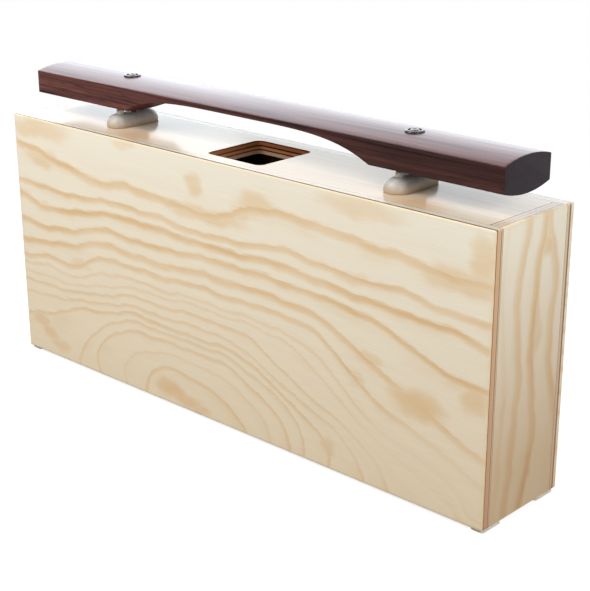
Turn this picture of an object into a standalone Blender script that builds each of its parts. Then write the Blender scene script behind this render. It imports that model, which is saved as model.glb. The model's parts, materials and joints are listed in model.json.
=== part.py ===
"""A tuned wooden bar on its own resonator box, in metres, with +Z up.

The origin is the middle of the footprint, on the surface that the feet stand on.
+X runs along the bar, and the front of the box faces -Y.
"""
import math

import bmesh
import bpy
from mathutils import Vector

# Box: outside size, sheet thicknesses, eased edges and the sound opening in the top
BOX_LENGTH = 0.560
BOX_DEPTH = 0.100
BOX_HEIGHT = 0.237
FACE_PLY = 0.009
END_PLY = 0.012
TOP_PLY = 0.012
BOTTOM_PLY = 0.012
EDGE_ROUND = 0.0010
OPENING_LENGTH = 0.065
OPENING_DEPTH = 0.065
OPENING_CORNER = 0.0065

# Feet: strips under the bottom corners, set in from the ends and from the faces
FOOT_LENGTH = 0.012
FOOT_DEPTH = 0.024
FOOT_HEIGHT = 0.003
FOOT_CORNER = 0.0025
FOOT_INSET_END = 0.0008
FOOT_INSET_FACE = 0.0025

# Bar: flat sides between a crowned top and a rounded belly, the tuning arch below, the distance
# between its nodes, and how far it hangs to the right of the box's middle
BAR_LENGTH = 0.537
BAR_WIDTH = 0.058
BAR_SIDE = 0.0204
BAR_CROWN = 0.0042
BAR_BELLY = 0.0046
ARCH_HALF = 0.1423
ARCH_HEIGHT = 0.0160
ARCH_POWER = 4.5
NODE_SPACING = 0.329
BAR_SHIFT = 0.0022

# Rests: half-round blocks under the bar's nodes, with two soft studs plugged into each
REST_WIDTH = 0.0227
REST_LENGTH = 0.0550
REST_HEIGHT = 0.0130
REST_WALL = 0.0020
REST_FLAT = 0.0034
STUD_DIAMETER = 0.0067
STUD_SPACING = 0.0290
STUD_STAND = 0.0029
STUD_PLUG = 0.0040
STUD_DOME = 0.0008

# Screws, washers and the flanged grommets that sit in the bar's nodal holes
SHANK_DIAMETER = 0.0045
SCREW_GRIP = 0.0100
SCREW_POINT = 0.0030
HEAD_DIAMETER = 0.0070
HEAD_HEIGHT = 0.0010
HEAD_RIM = 0.0003
RECESS_LENGTH = 0.0042
RECESS_WIDTH = 0.0009
RECESS_DEPTH = 0.0006
RECESS_CORNER = 0.0002
WASHER_DIAMETER = 0.0100
WASHER_THICK = 0.0006
SLEEVE_DIAMETER = 0.0100
SLEEVE_LENGTH = 0.0080
FLANGE_DIAMETER = 0.0158
FLANGE_HEIGHT = 0.0026
FLANGE_ROUND = 0.0006
WASHER_SEAT = 0.0018
SPOT_DEPTH = 0.0016
BAR_HOLE_DIAMETER = 0.0072

# Clearances: pieces that touch, pieces that slide past each other, and the bar's way up
FIT_GAP = 0.0003
RUN_GAP = 0.0004
LIFT_PLAY = 0.0006

# Fineness of round shapes, where shading breaks, and how far a cutter runs past what it cuts
ROUND_STEPS = 28
ARC_STEPS = 8
EASED_STEPS = 3
DOME_STEPS = 4
ARCH_STEPS = 48
SHARP_ANGLE = math.radians(40)
CUT_PAST = 0.005
SAME_PLACE = 1e-6

# Places that follow from the sizes above
BOX_LOW = Vector((-BOX_LENGTH / 2, -BOX_DEPTH / 2, FOOT_HEIGHT))
BOX_HIGH = Vector((BOX_LENGTH / 2, BOX_DEPTH / 2, FOOT_HEIGHT + BOX_HEIGHT))
NODE_X = NODE_SPACING / 2
STUD_Y = STUD_SPACING / 2
REST_Z = BOX_HIGH.z + FIT_GAP
BAR_TOP = BAR_BELLY + BAR_SIDE + BAR_CROWN
FLANGE_Z = BAR_TOP - SPOT_DEPTH + FIT_GAP
WASHER_Z = FLANGE_Z + FLANGE_HEIGHT - WASHER_SEAT + FIT_GAP
SIDES = {"left": -1, "right": 1}
FACES = {"front": -1, "back": 1}
SCREW_X = {side: BAR_SHIFT + sign * NODE_X for side, sign in SIDES.items()}


def rise(half_width, height, offset):
    """How far a shallow arc of this half width and height climbs at an offset from its middle."""
    radius = (half_width ** 2 + height ** 2) / (2 * height)
    return radius - math.sqrt(radius ** 2 - offset ** 2)


BAR_Z = REST_Z + REST_HEIGHT + STUD_STAND + FIT_GAP - rise(BAR_WIDTH / 2, BAR_BELLY, STUD_Y)
HEAD_Z = BAR_Z + WASHER_Z + WASHER_THICK + LIFT_PLAY


def finish(name, colour, roughness, metallic=0.0):
    """A plain surface of one colour, given as linear red, green and blue."""
    material = bpy.data.materials.new(name)
    material.use_nodes = True
    shader = material.node_tree.nodes["Principled BSDF"]
    shader.inputs["Base Color"].default_value = (*colour, 1.0)
    shader.inputs["Roughness"].default_value = roughness
    shader.inputs["Metallic"].default_value = metallic
    return material


def add(name, bm, material, location, parent, smooth=False):
    """Turns a finished shape into a named object that stands at a location on its parent."""
    bmesh.ops.recalc_face_normals(bm, faces=bm.faces)
    mesh = bpy.data.meshes.new(name)
    bm.to_mesh(mesh)
    bm.free()
    if smooth:
        mesh.shade_smooth()
        mesh.set_sharp_from_angle(angle=SHARP_ANGLE)
    if material:
        mesh.materials.append(material)
    made = bpy.data.objects.new(name, mesh)
    made.location = location
    made.parent = parent
    bpy.context.scene.collection.objects.link(made)
    return made


def empty(name, location):
    """A bare point that pieces hang from."""
    point = bpy.data.objects.new(name, None)
    point.location = location
    bpy.context.scene.collection.objects.link(point)
    return point


def cut(target, name, bm, location):
    """Takes a shape away from an object, and keeps the shape beside it as a hidden guide."""
    guide = add(name, bm, None, location, target.parent)
    guide.hide_render = True
    guide.display_type = "WIRE"
    modifier = target.modifiers.new(name, "BOOLEAN")
    modifier.operation = "DIFFERENCE"
    modifier.solver = "EXACT"
    modifier.object = guide


def arc(middle, radii, start, end, steps=ARC_STEPS):
    """Points on an ellipse around a middle, from one angle to another in degrees."""
    angles = [math.radians(start + (end - start) * i / steps) for i in range(steps + 1)]
    return [
        (middle[0] + radii[0] * math.cos(angle), middle[1] + radii[1] * math.sin(angle))
        for angle in angles
    ]


def rounded_rectangle(length, depth, corner):
    """The outline of a rectangle with round corners, around the origin."""
    x = length / 2 - corner
    y = depth / 2 - corner
    outline = arc((x, y), (corner, corner), 0, 90)
    outline += arc((-x, y), (corner, corner), 90, 180)
    outline += arc((-x, -y), (corner, corner), 180, 270)
    outline += arc((x, -y), (corner, corner), 270, 360)
    return outline


def prism(points, along):
    """A flat outline of 3-D points, carried along a straight line into a closed solid."""
    bm = bmesh.new()
    face = bm.faces.new([bm.verts.new(point) for point in points])
    swept = bmesh.ops.extrude_face_region(bm, geom=[face])["geom"]
    moved = [item for item in swept if isinstance(item, bmesh.types.BMVert)]
    bmesh.ops.translate(bm, vec=along, verts=moved)
    return bm


def upright(outline, low, high):
    """A flat outline of (x, y) points as a solid between two heights."""
    return prism([(x, y, low) for x, y in outline], (0, 0, high - low))


def turned(profile, steps=ROUND_STEPS):
    """(radius, height) points spun once around Z: a ring, or a solid if the ends lie on the axis."""
    bm = bmesh.new()
    verts = [bm.verts.new((radius, 0, height)) for radius, height in profile]
    ends = list(zip(verts, verts[1:]))
    if profile[0][0] > 0:
        ends.append((verts[-1], verts[0]))
    edges = [bm.edges.new(pair) for pair in ends]
    bmesh.ops.spin(
        bm, geom=verts + edges, cent=(0, 0, 0), axis=(0, 0, 1), angle=2 * math.pi, steps=steps,
        use_merge=True,
    )
    bmesh.ops.remove_doubles(bm, verts=bm.verts, dist=SAME_PLACE)
    return bm


def rod(diameter, low, high):
    """A plain upright cylinder between two heights."""
    radius = diameter / 2
    return turned([(0, low), (radius, low), (radius, high), (0, high)])


def outer_planes(point):
    """The flat sides of the whole box that a point lies on, as pairs of axis and end."""
    limits = enumerate(zip(BOX_LOW, BOX_HIGH))
    return {
        (axis, end) for axis, pair in limits for end, limit in enumerate(pair)
        if abs(point[axis] - limit) < SAME_PLACE
    }


def panel(name, low, high, wood, parent):
    """A sheet between two corners, eased only along the outer edges of the whole box."""
    centre = (low + high) / 2
    bm = bmesh.new()
    bmesh.ops.create_cube(bm, size=1.0)
    bmesh.ops.scale(bm, vec=high - low, verts=bm.verts)
    outer = []
    for edge in bm.edges:
        first, second = (outer_planes(vert.co + centre) for vert in edge.verts)
        if len(first & second) == 2:
            outer.append(edge)
    bmesh.ops.bevel(
        bm, geom=outer, offset=EDGE_ROUND, segments=EASED_STEPS, profile=0.5, affect="EDGES",
    )
    return add(name, bm, wood, centre, parent)


def make_box(wood, parent):
    """Front and back run the full length; ends, top and bottom are glued between them."""
    inner_y = BOX_DEPTH / 2 - FACE_PLY - FIT_GAP
    inner_x = BOX_LENGTH / 2 - END_PLY - FIT_GAP
    for face, sign in FACES.items():
        outside = sign * BOX_DEPTH / 2
        inside = outside - sign * FACE_PLY
        low = Vector((BOX_LOW.x, min(outside, inside), BOX_LOW.z))
        high = Vector((BOX_HIGH.x, max(outside, inside), BOX_HIGH.z))
        panel(f"{face}_panel", low, high, wood, parent)
    for side, sign in SIDES.items():
        outside = sign * BOX_LENGTH / 2
        inside = outside - sign * END_PLY
        low = Vector((min(outside, inside), -inner_y, BOX_LOW.z))
        high = Vector((max(outside, inside), inner_y, BOX_HIGH.z))
        panel(f"{side}_end_panel", low, high, wood, parent)
    low = Vector((-inner_x, -inner_y, BOX_LOW.z))
    high = Vector((inner_x, inner_y, BOX_LOW.z + BOTTOM_PLY))
    panel("bottom_panel", low, high, wood, parent)
    low = Vector((-inner_x, -inner_y, BOX_HIGH.z - TOP_PLY))
    high = Vector((inner_x, inner_y, BOX_HIGH.z))
    top = panel("top_panel", low, high, wood, parent)
    opening = rounded_rectangle(OPENING_LENGTH, OPENING_DEPTH, OPENING_CORNER)
    through = upright(opening, -TOP_PLY - CUT_PAST, CUT_PAST)
    cut(top, "sound_opening_cut", through, (0, 0, BOX_HIGH.z))
    for side, x in SCREW_X.items():
        pilot = rod(SHANK_DIAMETER + 2 * FIT_GAP, -SCREW_GRIP - FIT_GAP, CUT_PAST)
        cut(top, f"pilot_cut_{side}", pilot, (x, 0, BOX_HIGH.z))


def make_feet(pad, parent):
    """Four strips glued under the corners of the box."""
    x = BOX_LENGTH / 2 - FOOT_INSET_END - FOOT_LENGTH / 2
    y = BOX_DEPTH / 2 - FOOT_INSET_FACE - FOOT_DEPTH / 2
    outline = rounded_rectangle(FOOT_LENGTH, FOOT_DEPTH, FOOT_CORNER)
    for face, y_sign in FACES.items():
        for side, x_sign in SIDES.items():
            strip = upright(outline, 0, FOOT_HEIGHT - FIT_GAP)
            add(f"foot_{face}_{side}", strip, pad, (x_sign * x, y_sign * y, 0), parent, True)


def rest_block():
    """A loaf with round ends: each ring keeps one distance from the ridge and rises in an ellipse."""
    radius = REST_WIDTH / 2
    ridge = REST_LENGTH / 2 - radius
    last = math.degrees(math.acos(REST_FLAT / 2 / radius))
    rings = [(radius, 0)]
    rings += arc((0, REST_WALL), (radius, REST_HEIGHT - REST_WALL), 0, last)
    top = rings[-1][1]
    rings = [(distance, height * REST_HEIGHT / top) for distance, height in rings]
    bm = bmesh.new()
    loops = []
    for distance, height in rings:
        outline = arc((0, ridge), (distance, distance), 0, 180)
        outline += arc((0, -ridge), (distance, distance), 180, 360)
        loops.append([bm.verts.new((x, y, height)) for x, y in outline])
    for lower, upper in zip(loops, loops[1:]):
        for i, vert in enumerate(lower):
            bm.faces.new((lower[i - 1], vert, upper[i], upper[i - 1]))
    bm.faces.new(loops[0][::-1])
    bm.faces.new(loops[-1])
    return bm


def stud_peg():
    """A soft round peg with a low dome, from the bottom of its socket up to the bar."""
    radius = STUD_DIAMETER / 2
    shoulder = STUD_STAND - STUD_DOME
    foot = FIT_GAP - STUD_PLUG
    dome = arc((0, shoulder), (radius, STUD_DOME), 0, 90, DOME_STEPS)
    return turned([(0, foot), (radius, foot)] + dome[:-1] + [(0, STUD_STAND)])


def make_rests(moulded, soft, parent):
    """Both rests on the top of the box, each with its screw hole, two sockets and two studs."""
    for side, x_sign in SIDES.items():
        place = Vector((x_sign * NODE_X, 0, REST_Z))
        crown = place + Vector((0, 0, REST_HEIGHT))
        rest = add(f"rest_{side}", rest_block(), moulded, place, parent, True)
        hole = rod(SHANK_DIAMETER + 2 * RUN_GAP, -CUT_PAST, REST_HEIGHT + CUT_PAST)
        cut(rest, f"rest_hole_cut_{side}", hole, (SCREW_X[side], 0, REST_Z))
        for face, y_sign in FACES.items():
            seat = crown + Vector((0, y_sign * STUD_Y, 0))
            socket = rod(STUD_DIAMETER + 2 * FIT_GAP, -STUD_PLUG, CUT_PAST)
            cut(rest, f"socket_cut_{side}_{face}", socket, seat)
            add(f"stud_{side}_{face}", stud_peg(), soft, seat, parent, True)


def screw():
    """A pan-head screw with its head's underside at height 0 and its point in the box's top."""
    head = HEAD_DIAMETER / 2
    shank = SHANK_DIAMETER / 2
    tip = BOX_HIGH.z - SCREW_GRIP - HEAD_Z
    crown = arc((0, HEAD_RIM), (head, HEAD_HEIGHT - HEAD_RIM), 0, 90)
    lower = [(0, tip), (shank, tip + SCREW_POINT), (shank, 0), (head, 0)]
    return turned(lower + crown[:-1] + [(0, HEAD_HEIGHT)])


def make_screws(steel, parent):
    """The two screws, each with a cross recess in its head."""
    low = HEAD_HEIGHT - RECESS_DEPTH
    ways = {"along": (RECESS_LENGTH, RECESS_WIDTH), "across": (RECESS_WIDTH, RECESS_LENGTH)}
    for side, x in SCREW_X.items():
        place = (x, 0, HEAD_Z)
        made = add(f"screw_{side}", screw(), steel, place, parent, True)
        for way, size in ways.items():
            slot = upright(rounded_rectangle(*size, RECESS_CORNER), low, HEAD_HEIGHT + CUT_PAST)
            cut(made, f"recess_{way}_cut_{side}", slot, place)


def bar_blank():
    """Two shallow arcs and two flat sides, carried along the bar with a flat facet in the middle."""
    half = BAR_WIDTH / 2
    steps = 2 * ARC_STEPS + 1
    across = [half * (1 - 2 * i / steps) for i in range(steps + 1)]
    upper = [(y, BAR_TOP - rise(half, BAR_CROWN, y)) for y in across]
    lower = [(y, rise(half, BAR_BELLY, y)) for y in reversed(across)]
    section = [(-BAR_LENGTH / 2, y, z) for y, z in upper + lower]
    return prism(section, (BAR_LENGTH, 0, 0))


def arch_cutter():
    """The space below the tuning arch: a curve of high power, flat in the middle, across the bar."""
    below = BAR_BELLY + CUT_PAST
    reach = ARCH_HALF * (1 + below / ARCH_HEIGHT) ** (1 / ARCH_POWER)
    along = [reach * (2 * i / ARCH_STEPS - 1) for i in range(ARCH_STEPS + 1)]
    curve = [
        (x, BAR_BELLY + ARCH_HEIGHT * (1 - (abs(x) / ARCH_HALF) ** ARCH_POWER)) for x in along
    ]
    width = BAR_WIDTH + 2 * CUT_PAST
    return prism([(x, -width / 2, z) for x, z in curve], (0, width, 0))


def node_hole():
    """A stepped bore down the bar: a spot for the flange, the sleeve's bore, the screw's way."""
    narrow = BAR_HOLE_DIAMETER / 2
    wide = SLEEVE_DIAMETER / 2 + FIT_GAP
    spot = FLANGE_DIAMETER / 2 + FIT_GAP
    step = FLANGE_Z - SLEEVE_LENGTH - FIT_GAP
    face = BAR_TOP - SPOT_DEPTH
    top = BAR_TOP + CUT_PAST
    lower = [(0, -CUT_PAST), (narrow, -CUT_PAST), (narrow, step), (wide, step), (wide, face)]
    return turned(lower + [(spot, face), (spot, top), (0, top)])


def make_bar(rosewood, parent):
    """The bar with a stepped hole at each node for the grommet and the screw, and its arch."""
    bar = add("sound_bar", bar_blank(), rosewood, (0, 0, 0), parent)
    for side, sign in SIDES.items():
        cut(bar, f"node_hole_cut_{side}", node_hole(), (sign * NODE_X, 0, 0))
    cut(bar, "arch_cut", arch_cutter(), (0, 0, 0))


def grommet():
    """A flanged bush with its flange's underside at height 0 and a seat for the washer on top."""
    bore = SHANK_DIAMETER / 2 + RUN_GAP
    sleeve = SLEEVE_DIAMETER / 2
    flange = FLANGE_DIAMETER / 2
    seat = WASHER_DIAMETER / 2 + FIT_GAP
    floor = FLANGE_HEIGHT - WASHER_SEAT
    centre = (flange - FLANGE_ROUND, FLANGE_HEIGHT - FLANGE_ROUND)
    rim = arc(centre, (FLANGE_ROUND, FLANGE_ROUND), 0, 90, EASED_STEPS)
    profile = [(bore, -SLEEVE_LENGTH), (sleeve, -SLEEVE_LENGTH), (sleeve, 0), (flange, 0)]
    profile += rim + [(seat, FLANGE_HEIGHT), (seat, floor), (bore, floor)]
    return turned(profile)


def washer():
    """A flat ring with its underside at height 0."""
    inner = SHANK_DIAMETER / 2 + RUN_GAP
    outer = WASHER_DIAMETER / 2
    return turned([(inner, 0), (outer, 0), (outer, WASHER_THICK), (inner, WASHER_THICK)])


def make_bar_fittings(rubber, steel, parent):
    """The grommet in each nodal hole and the washer that lies in it."""
    for side, sign in SIDES.items():
        x = sign * NODE_X
        add(f"grommet_{side}", grommet(), rubber, (x, 0, FLANGE_Z), parent, True)
        add(f"washer_{side}", washer(), steel, (x, 0, WASHER_Z), parent, True)


def main():
    for old in list(bpy.data.objects):
        bpy.data.objects.remove(old)
    pine = finish("lacquered_pine_plywood", (0.76, 0.63, 0.45), 0.3)
    rosewood = finish("oiled_rosewood", (0.10, 0.04, 0.035), 0.4)
    moulded = finish("pale_grey_moulded_rubber", (0.62, 0.61, 0.58), 0.5)
    soft = finish("soft_silicone", (0.55, 0.54, 0.50), 0.55)
    black = finish("black_rubber", (0.02, 0.02, 0.02), 0.55)
    steel = finish("nickelled_steel", (0.66, 0.66, 0.65), 0.25, 1.0)
    pad = finish("pale_grey_foot_rubber", (0.62, 0.60, 0.52), 0.6)
    box = empty("resonator", (0, 0, 0))
    slide = empty("bar_slide", (BAR_SHIFT, 0, BAR_Z))
    make_box(pine, box)
    make_feet(pad, box)
    make_rests(moulded, soft, box)
    make_screws(steel, box)
    make_bar(rosewood, slide)
    make_bar_fittings(black, steel, slide)


main()
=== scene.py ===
# %% [markdown]
# # A resonator bar, dressed for the studio
# The object is one low rosewood bar lying on its own plywood box. The box is an air chamber with a square
# opening under the bar; two moulded rests with soft studs carry the bar, and two screws in rubber
# grommets keep it from walking away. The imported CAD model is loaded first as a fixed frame: it already
# has the real sizes, so every piece made below takes its place from it and nothing has to be fitted by
# eye.

# %% Load the frame
import json
import math

import bpy
import numpy as np
from mathutils import Matrix, Vector

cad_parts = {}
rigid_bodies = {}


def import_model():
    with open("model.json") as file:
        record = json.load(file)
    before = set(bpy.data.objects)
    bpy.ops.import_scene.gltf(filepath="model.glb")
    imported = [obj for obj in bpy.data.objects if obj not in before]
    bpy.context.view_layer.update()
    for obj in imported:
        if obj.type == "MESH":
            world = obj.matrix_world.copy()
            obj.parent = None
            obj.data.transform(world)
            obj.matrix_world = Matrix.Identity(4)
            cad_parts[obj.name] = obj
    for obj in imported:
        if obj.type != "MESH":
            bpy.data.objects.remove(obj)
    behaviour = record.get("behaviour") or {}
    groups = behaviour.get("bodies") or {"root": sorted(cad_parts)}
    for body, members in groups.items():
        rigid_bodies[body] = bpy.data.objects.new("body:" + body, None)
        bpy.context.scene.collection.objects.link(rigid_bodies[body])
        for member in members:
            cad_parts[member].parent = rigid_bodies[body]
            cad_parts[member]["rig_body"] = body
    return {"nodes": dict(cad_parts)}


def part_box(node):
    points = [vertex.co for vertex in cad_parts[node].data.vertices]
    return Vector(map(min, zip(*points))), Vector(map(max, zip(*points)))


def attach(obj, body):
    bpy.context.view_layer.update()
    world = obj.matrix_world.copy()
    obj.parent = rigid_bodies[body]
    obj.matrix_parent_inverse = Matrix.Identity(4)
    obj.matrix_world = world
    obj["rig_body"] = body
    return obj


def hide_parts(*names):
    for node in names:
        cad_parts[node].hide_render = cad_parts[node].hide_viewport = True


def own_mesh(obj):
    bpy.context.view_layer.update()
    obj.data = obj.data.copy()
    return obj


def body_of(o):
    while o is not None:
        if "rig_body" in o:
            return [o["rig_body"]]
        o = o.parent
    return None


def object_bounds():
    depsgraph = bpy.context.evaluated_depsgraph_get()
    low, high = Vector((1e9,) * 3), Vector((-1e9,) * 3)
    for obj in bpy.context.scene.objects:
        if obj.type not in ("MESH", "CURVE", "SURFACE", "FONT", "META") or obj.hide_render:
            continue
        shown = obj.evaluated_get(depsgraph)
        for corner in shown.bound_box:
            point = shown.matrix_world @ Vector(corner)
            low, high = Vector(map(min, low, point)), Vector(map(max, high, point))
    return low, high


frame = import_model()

MM = 0.001
cad_low, cad_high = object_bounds()
print("frame:", sorted(frame["nodes"]), "box in mm:", [round(v / MM, 1) for v in cad_high - cad_low])

# %% [markdown]
# ## The camera
# The photograph was taken from the front right, a little above the box, with a long lens: the box's edges
# nearly keep parallel. Eight straight edges of the box, measured in the picture, give the angle, the
# distance and the lens, so the camera below is simply placed on a sphere round a point inside the box. An
# orthographic camera would be easier, but then the far end would not shrink as it does in the picture.

# %% Camera
PICTURE_TALL = 591          # pixels on the longer side of the photograph
FOCAL_PIXELS = 1383.8       # the lens, told in pixels of that picture
SENSOR = 36.0
LOOK_AT = Vector((0.0410, 0.0, 0.1208))
AZIMUTH, ELEVATION, ROLL = (math.radians(v) for v in (43.24, 19.85, -0.16))
DISTANCE = 1.190

level = math.cos(ELEVATION)
backward = Vector((math.sin(AZIMUTH) * level, -math.cos(AZIMUTH) * level, math.sin(ELEVATION)))
sideways = Vector((0, 0, 1)).cross(backward).normalized()
upward = backward.cross(sideways)
turn = Matrix((sideways, upward, backward)).transposed() @ Matrix.Rotation(ROLL, 3, "Z")

camera = bpy.data.objects.new("camera", bpy.data.cameras.new("camera"))
camera.data.sensor_width = SENSOR
camera.data.lens = FOCAL_PIXELS / PICTURE_TALL * SENSOR
camera.matrix_world = Matrix.Translation(LOOK_AT + backward * DISTANCE) @ turn.to_4x4()
bpy.context.scene.collection.objects.link(camera)
bpy.context.scene.camera = camera
bpy.context.scene.view_settings.view_transform = "Standard"
print("camera at", [round(v, 3) for v in camera.matrix_world.translation], "lens", round(camera.data.lens, 2))

# %% [markdown]
# ## Small tools for materials
# A colour picked from a picture is an sRGB value, while Cycles works in linear light, so one function
# turns hex colours to linear. Materials are made of nodes. Adding a node, setting it and joining it up
# takes four or five lines in Python, so one function does that for every kind of node.

# %% Colour and node tools
def linear(hexed):
    """sRGB hex to linear RGBA: a channel c becomes ((c + 0.055) / 1.055) to the power 2.4, or c / 12.92
    near black."""
    c = np.array([int(hexed[k:k + 2], 16) / 255 for k in (1, 3, 5)])
    light = np.where(c <= 0.04045, c / 12.92, ((c + 0.055) / 1.055) ** 2.4)
    return (*(float(v) for v in light), 1.0)


def grey(share):
    """A neutral linear value, for ramps that carry a mask and not a colour."""
    return (share, share, share, 1.0)


def add(tree, kind, inputs=None, out=0, stops=None, **settings):
    """Adds one node. settings are its own properties, inputs pairs a socket with a value or another node's
    output, stops are a ramp's (place, colour) pairs. Returns the output socket `out`, or the node where out
    is None."""
    node = tree.nodes.new("ShaderNode" + kind)
    for name, value in settings.items():
        setattr(node, name, value)
    for key, value in (inputs or {}).items():
        if isinstance(value, bpy.types.NodeSocket):
            tree.links.new(value, node.inputs[key])
        else:
            node.inputs[key].default_value = value
    if stops:
        ramp = node.color_ramp.elements
        for element, (place, colour) in zip((ramp[0], ramp[1]), (stops[0], stops[-1])):
            element.position = place
            element.color = colour
        for place, colour in stops[1:-1]:
            ramp.new(place).color = colour
    return node if out is None or not node.outputs else node.outputs[out]


def blank(name):
    """A new material with an empty node tree."""
    material = bpy.data.materials.new(name)
    material.use_nodes = True
    material.node_tree.nodes.clear()
    return material, material.node_tree


def span(low, high, to_low=0.0, to_high=1.0):
    """The limits of a change of range: low becomes to_low, high becomes to_high, evenly in between."""
    return {"From Min": low, "From Max": high, "To Min": to_low, "To Max": to_high}


def grain_noise(tree, axis, size, detail, **sockets):
    """A noise drawn out along the grain: in Object coordinates its lumps are size = (length, width) mm."""
    scale = [1 / (size[1] * MM)] * 3
    scale[axis] = 1 / (size[0] * MM)
    place = add(tree, "Mapping", {"Vector": add(tree, "TexCoord", out="Object"), "Scale": scale})
    return add(tree, "TexNoise", {"Vector": place, "Scale": 1.0, "Detail": detail, **sockets})


MIX_A, MIX_B = 6, 7                              # the colour sockets of a Mix node, whose names repeat
BLEND = {"out": 2, "data_type": "RGBA"}          # makes a Mix node blend two colours
STAIN = {**BLEND, "blend_type": "MULTIPLY"}      # makes it stain the first colour with the second
print("mid grey in linear light:", [round(v, 3) for v in linear("#808080")])

# %% [markdown]
# ## Floor, world and lamps
# The object stands on a white sweep. The camera and every mirror-like surface see that sweep at strength
# 1, which is white, and a share of it is a real matt floor that takes the box's soft shadow. For
# scattered light the floor is duller: otherwise it would light the lower front of the box, which is the
# darker part in the photograph. Two panels behind the box are what the lacquered top and the crowned bar
# mirror as a pale glare. One soft panel at the front left and one at the right light the faces, and the
# world fills the rest.

# %% World
FILL = (0.42, 0.28)          # light on matt surfaces from near the horizon, and from overhead
GLOW = (1.00, 0.30)          # what glossy surfaces see there
OVERHEAD = (0.35, 0.80)      # the sines of height between which the first gives way to the second
world = bpy.data.worlds.new("studio")
world.use_nodes = True
bpy.context.scene.world = world
sky = world.node_tree
sky.nodes.clear()
ray = add(sky, "LightPath", out=None)
height = add(sky, "SeparateXYZ", {0: add(sky, "TexCoord", out="Generated")}, out="Z")
overhead = add(sky, "MapRange", {"Value": height, **span(*OVERHEAD)})
fill = add(sky, "Mix", {0: overhead, 2: FILL[0], 3: FILL[1]})
glow = add(sky, "Mix", {0: overhead, 2: GLOW[0], 3: GLOW[1]})
mirrored = add(sky, "Math", {0: ray.outputs["Is Glossy Ray"], 1: ray.outputs["Is Transmission Ray"]},
               operation="MAXIMUM")
strength = add(sky, "Mix", {0: mirrored, 2: fill, 3: glow})
strength = add(sky, "Mix", {0: ray.outputs["Is Camera Ray"], 2: strength, 3: 1.0})
add(sky, "OutputWorld", {0: add(sky, "Background", {"Color": linear("#FFFFFF"), "Strength": strength})})
print("world:", [n.bl_idname for n in sky.nodes])

# %% Floor
FLOOR_HALF = 6.0
FLOOR_BELOW = 0.0002         # the floor lies this far under the feet, so the two never flicker
SHADOW_REACH = (0.45, 1.10)  # m from the middle: the floor takes the shadow inside this, and is white beyond
DULL_PAPER, SHADOW_PAPER = "#625F5A", "#A0A0A0"   # for scattered light, and where the shadow falls
SHADOW_GLOW = 0.80           # the rest of the white there, which keeps the shadow pale

# Matt paper has no gloss, so the eye sees nothing on it but the box's soft shadow.
white_sweep, tree = blank("matt_white_paper_sweep")
ray = add(tree, "LightPath", out=None)
seen = add(tree, "Math", {0: ray.outputs["Is Camera Ray"], 1: ray.outputs["Is Glossy Ray"]},
           operation="MAXIMUM")
seen = add(tree, "Math", {0: seen, 1: ray.outputs["Is Transmission Ray"]}, operation="MAXIMUM")
paper = add(tree, "BsdfDiffuse", {"Color": linear(DULL_PAPER)})
plain = add(tree, "Emission", {"Color": grey(1.0), "Strength": 1.0})
under = add(tree, "Emission", {"Color": grey(1.0), "Strength": SHADOW_GLOW})
under = add(tree, "AddShader", {0: under, 1: add(tree, "BsdfDiffuse", {"Color": linear(SHADOW_PAPER)})})
away = add(tree, "VectorMath", {0: add(tree, "TexCoord", out="Object")}, out="Value", operation="LENGTH")
away = add(tree, "MapRange", {"Value": away, **span(*SHADOW_REACH)})
shown = add(tree, "MixShader", {0: away, 1: under, 2: plain})
add(tree, "OutputMaterial", {0: add(tree, "MixShader", {0: seen, 1: paper, 2: shown})})

corners = FLOOR_HALF * np.array([(-1, -1), (1, -1), (1, 1), (-1, 1)])
floor_mesh = bpy.data.meshes.new("floor")
floor_mesh.from_pydata([(x, y, cad_low.z - FLOOR_BELOW) for x, y in corners], [], [(0, 1, 2, 3)])
floor_mesh.materials.append(white_sweep)
floor = bpy.data.objects.new("floor", floor_mesh)
bpy.context.scene.collection.objects.link(floor)
print("floor half side", FLOOR_HALF, "m")

# %% Lamps
def lamp(name, place, aim, size, radiance, tint):
    """A soft panel at place that faces aim. Its power is radiance times pi times its area."""
    data = bpy.data.lights.new(name, "AREA")
    data.shape = "RECTANGLE"
    data.size, data.size_y = size
    data.energy = radiance * math.pi * size[0] * size[1]
    data.color = linear(tint)[:3]
    panel = bpy.data.objects.new(name, data)
    panel.location = place
    panel.rotation_euler = (Vector(place) - Vector(aim)).to_track_quat("Z", "Y").to_euler()
    panel.visible_camera = False
    bpy.context.scene.collection.objects.link(panel)
    return panel


lamp("front_panel_light", (-0.38, -0.945, 1.055), (0.0, 0.0, 0.12), (0.8, 0.8), 8.2, "#FFFDF9")
lamp("side_panel_light", (1.15, -0.25, 0.62), (0.25, 0.0, 0.12), (0.5, 0.5), 9.3, "#FFFDF9")
lamp("glare_panel_light", (-1.45, 1.75, 1.05), (0.0, 0.0, 0.30), (3.4, 2.10), 1.85, "#E8F3FF")
lamp("left_glare_panel_light", (-2.10, 1.30, 0.95), (0.0, 0.0, 0.30), (1.1, 1.40), 0.82, "#E8F3FF")

# %% [markdown]
# ## One function that makes a skin
# Every moulded, turned or carved piece here is a set of closed loops, one after another: rings up a
# turned stud, cross-sections along the bar, outlines up a foot. The function takes those loops as one
# array of points, joins neighbours with four-sided faces, and either closes the two ends with a flat face
# or joins the last loop to the first, as a ring needs. Blender's own primitives could be pushed into
# these shapes, but arrays keep the sizes exact.

# %% Skin tool
SMOOTH_TO = math.radians(35)   # edges that turn more than this stay sharp


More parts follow.
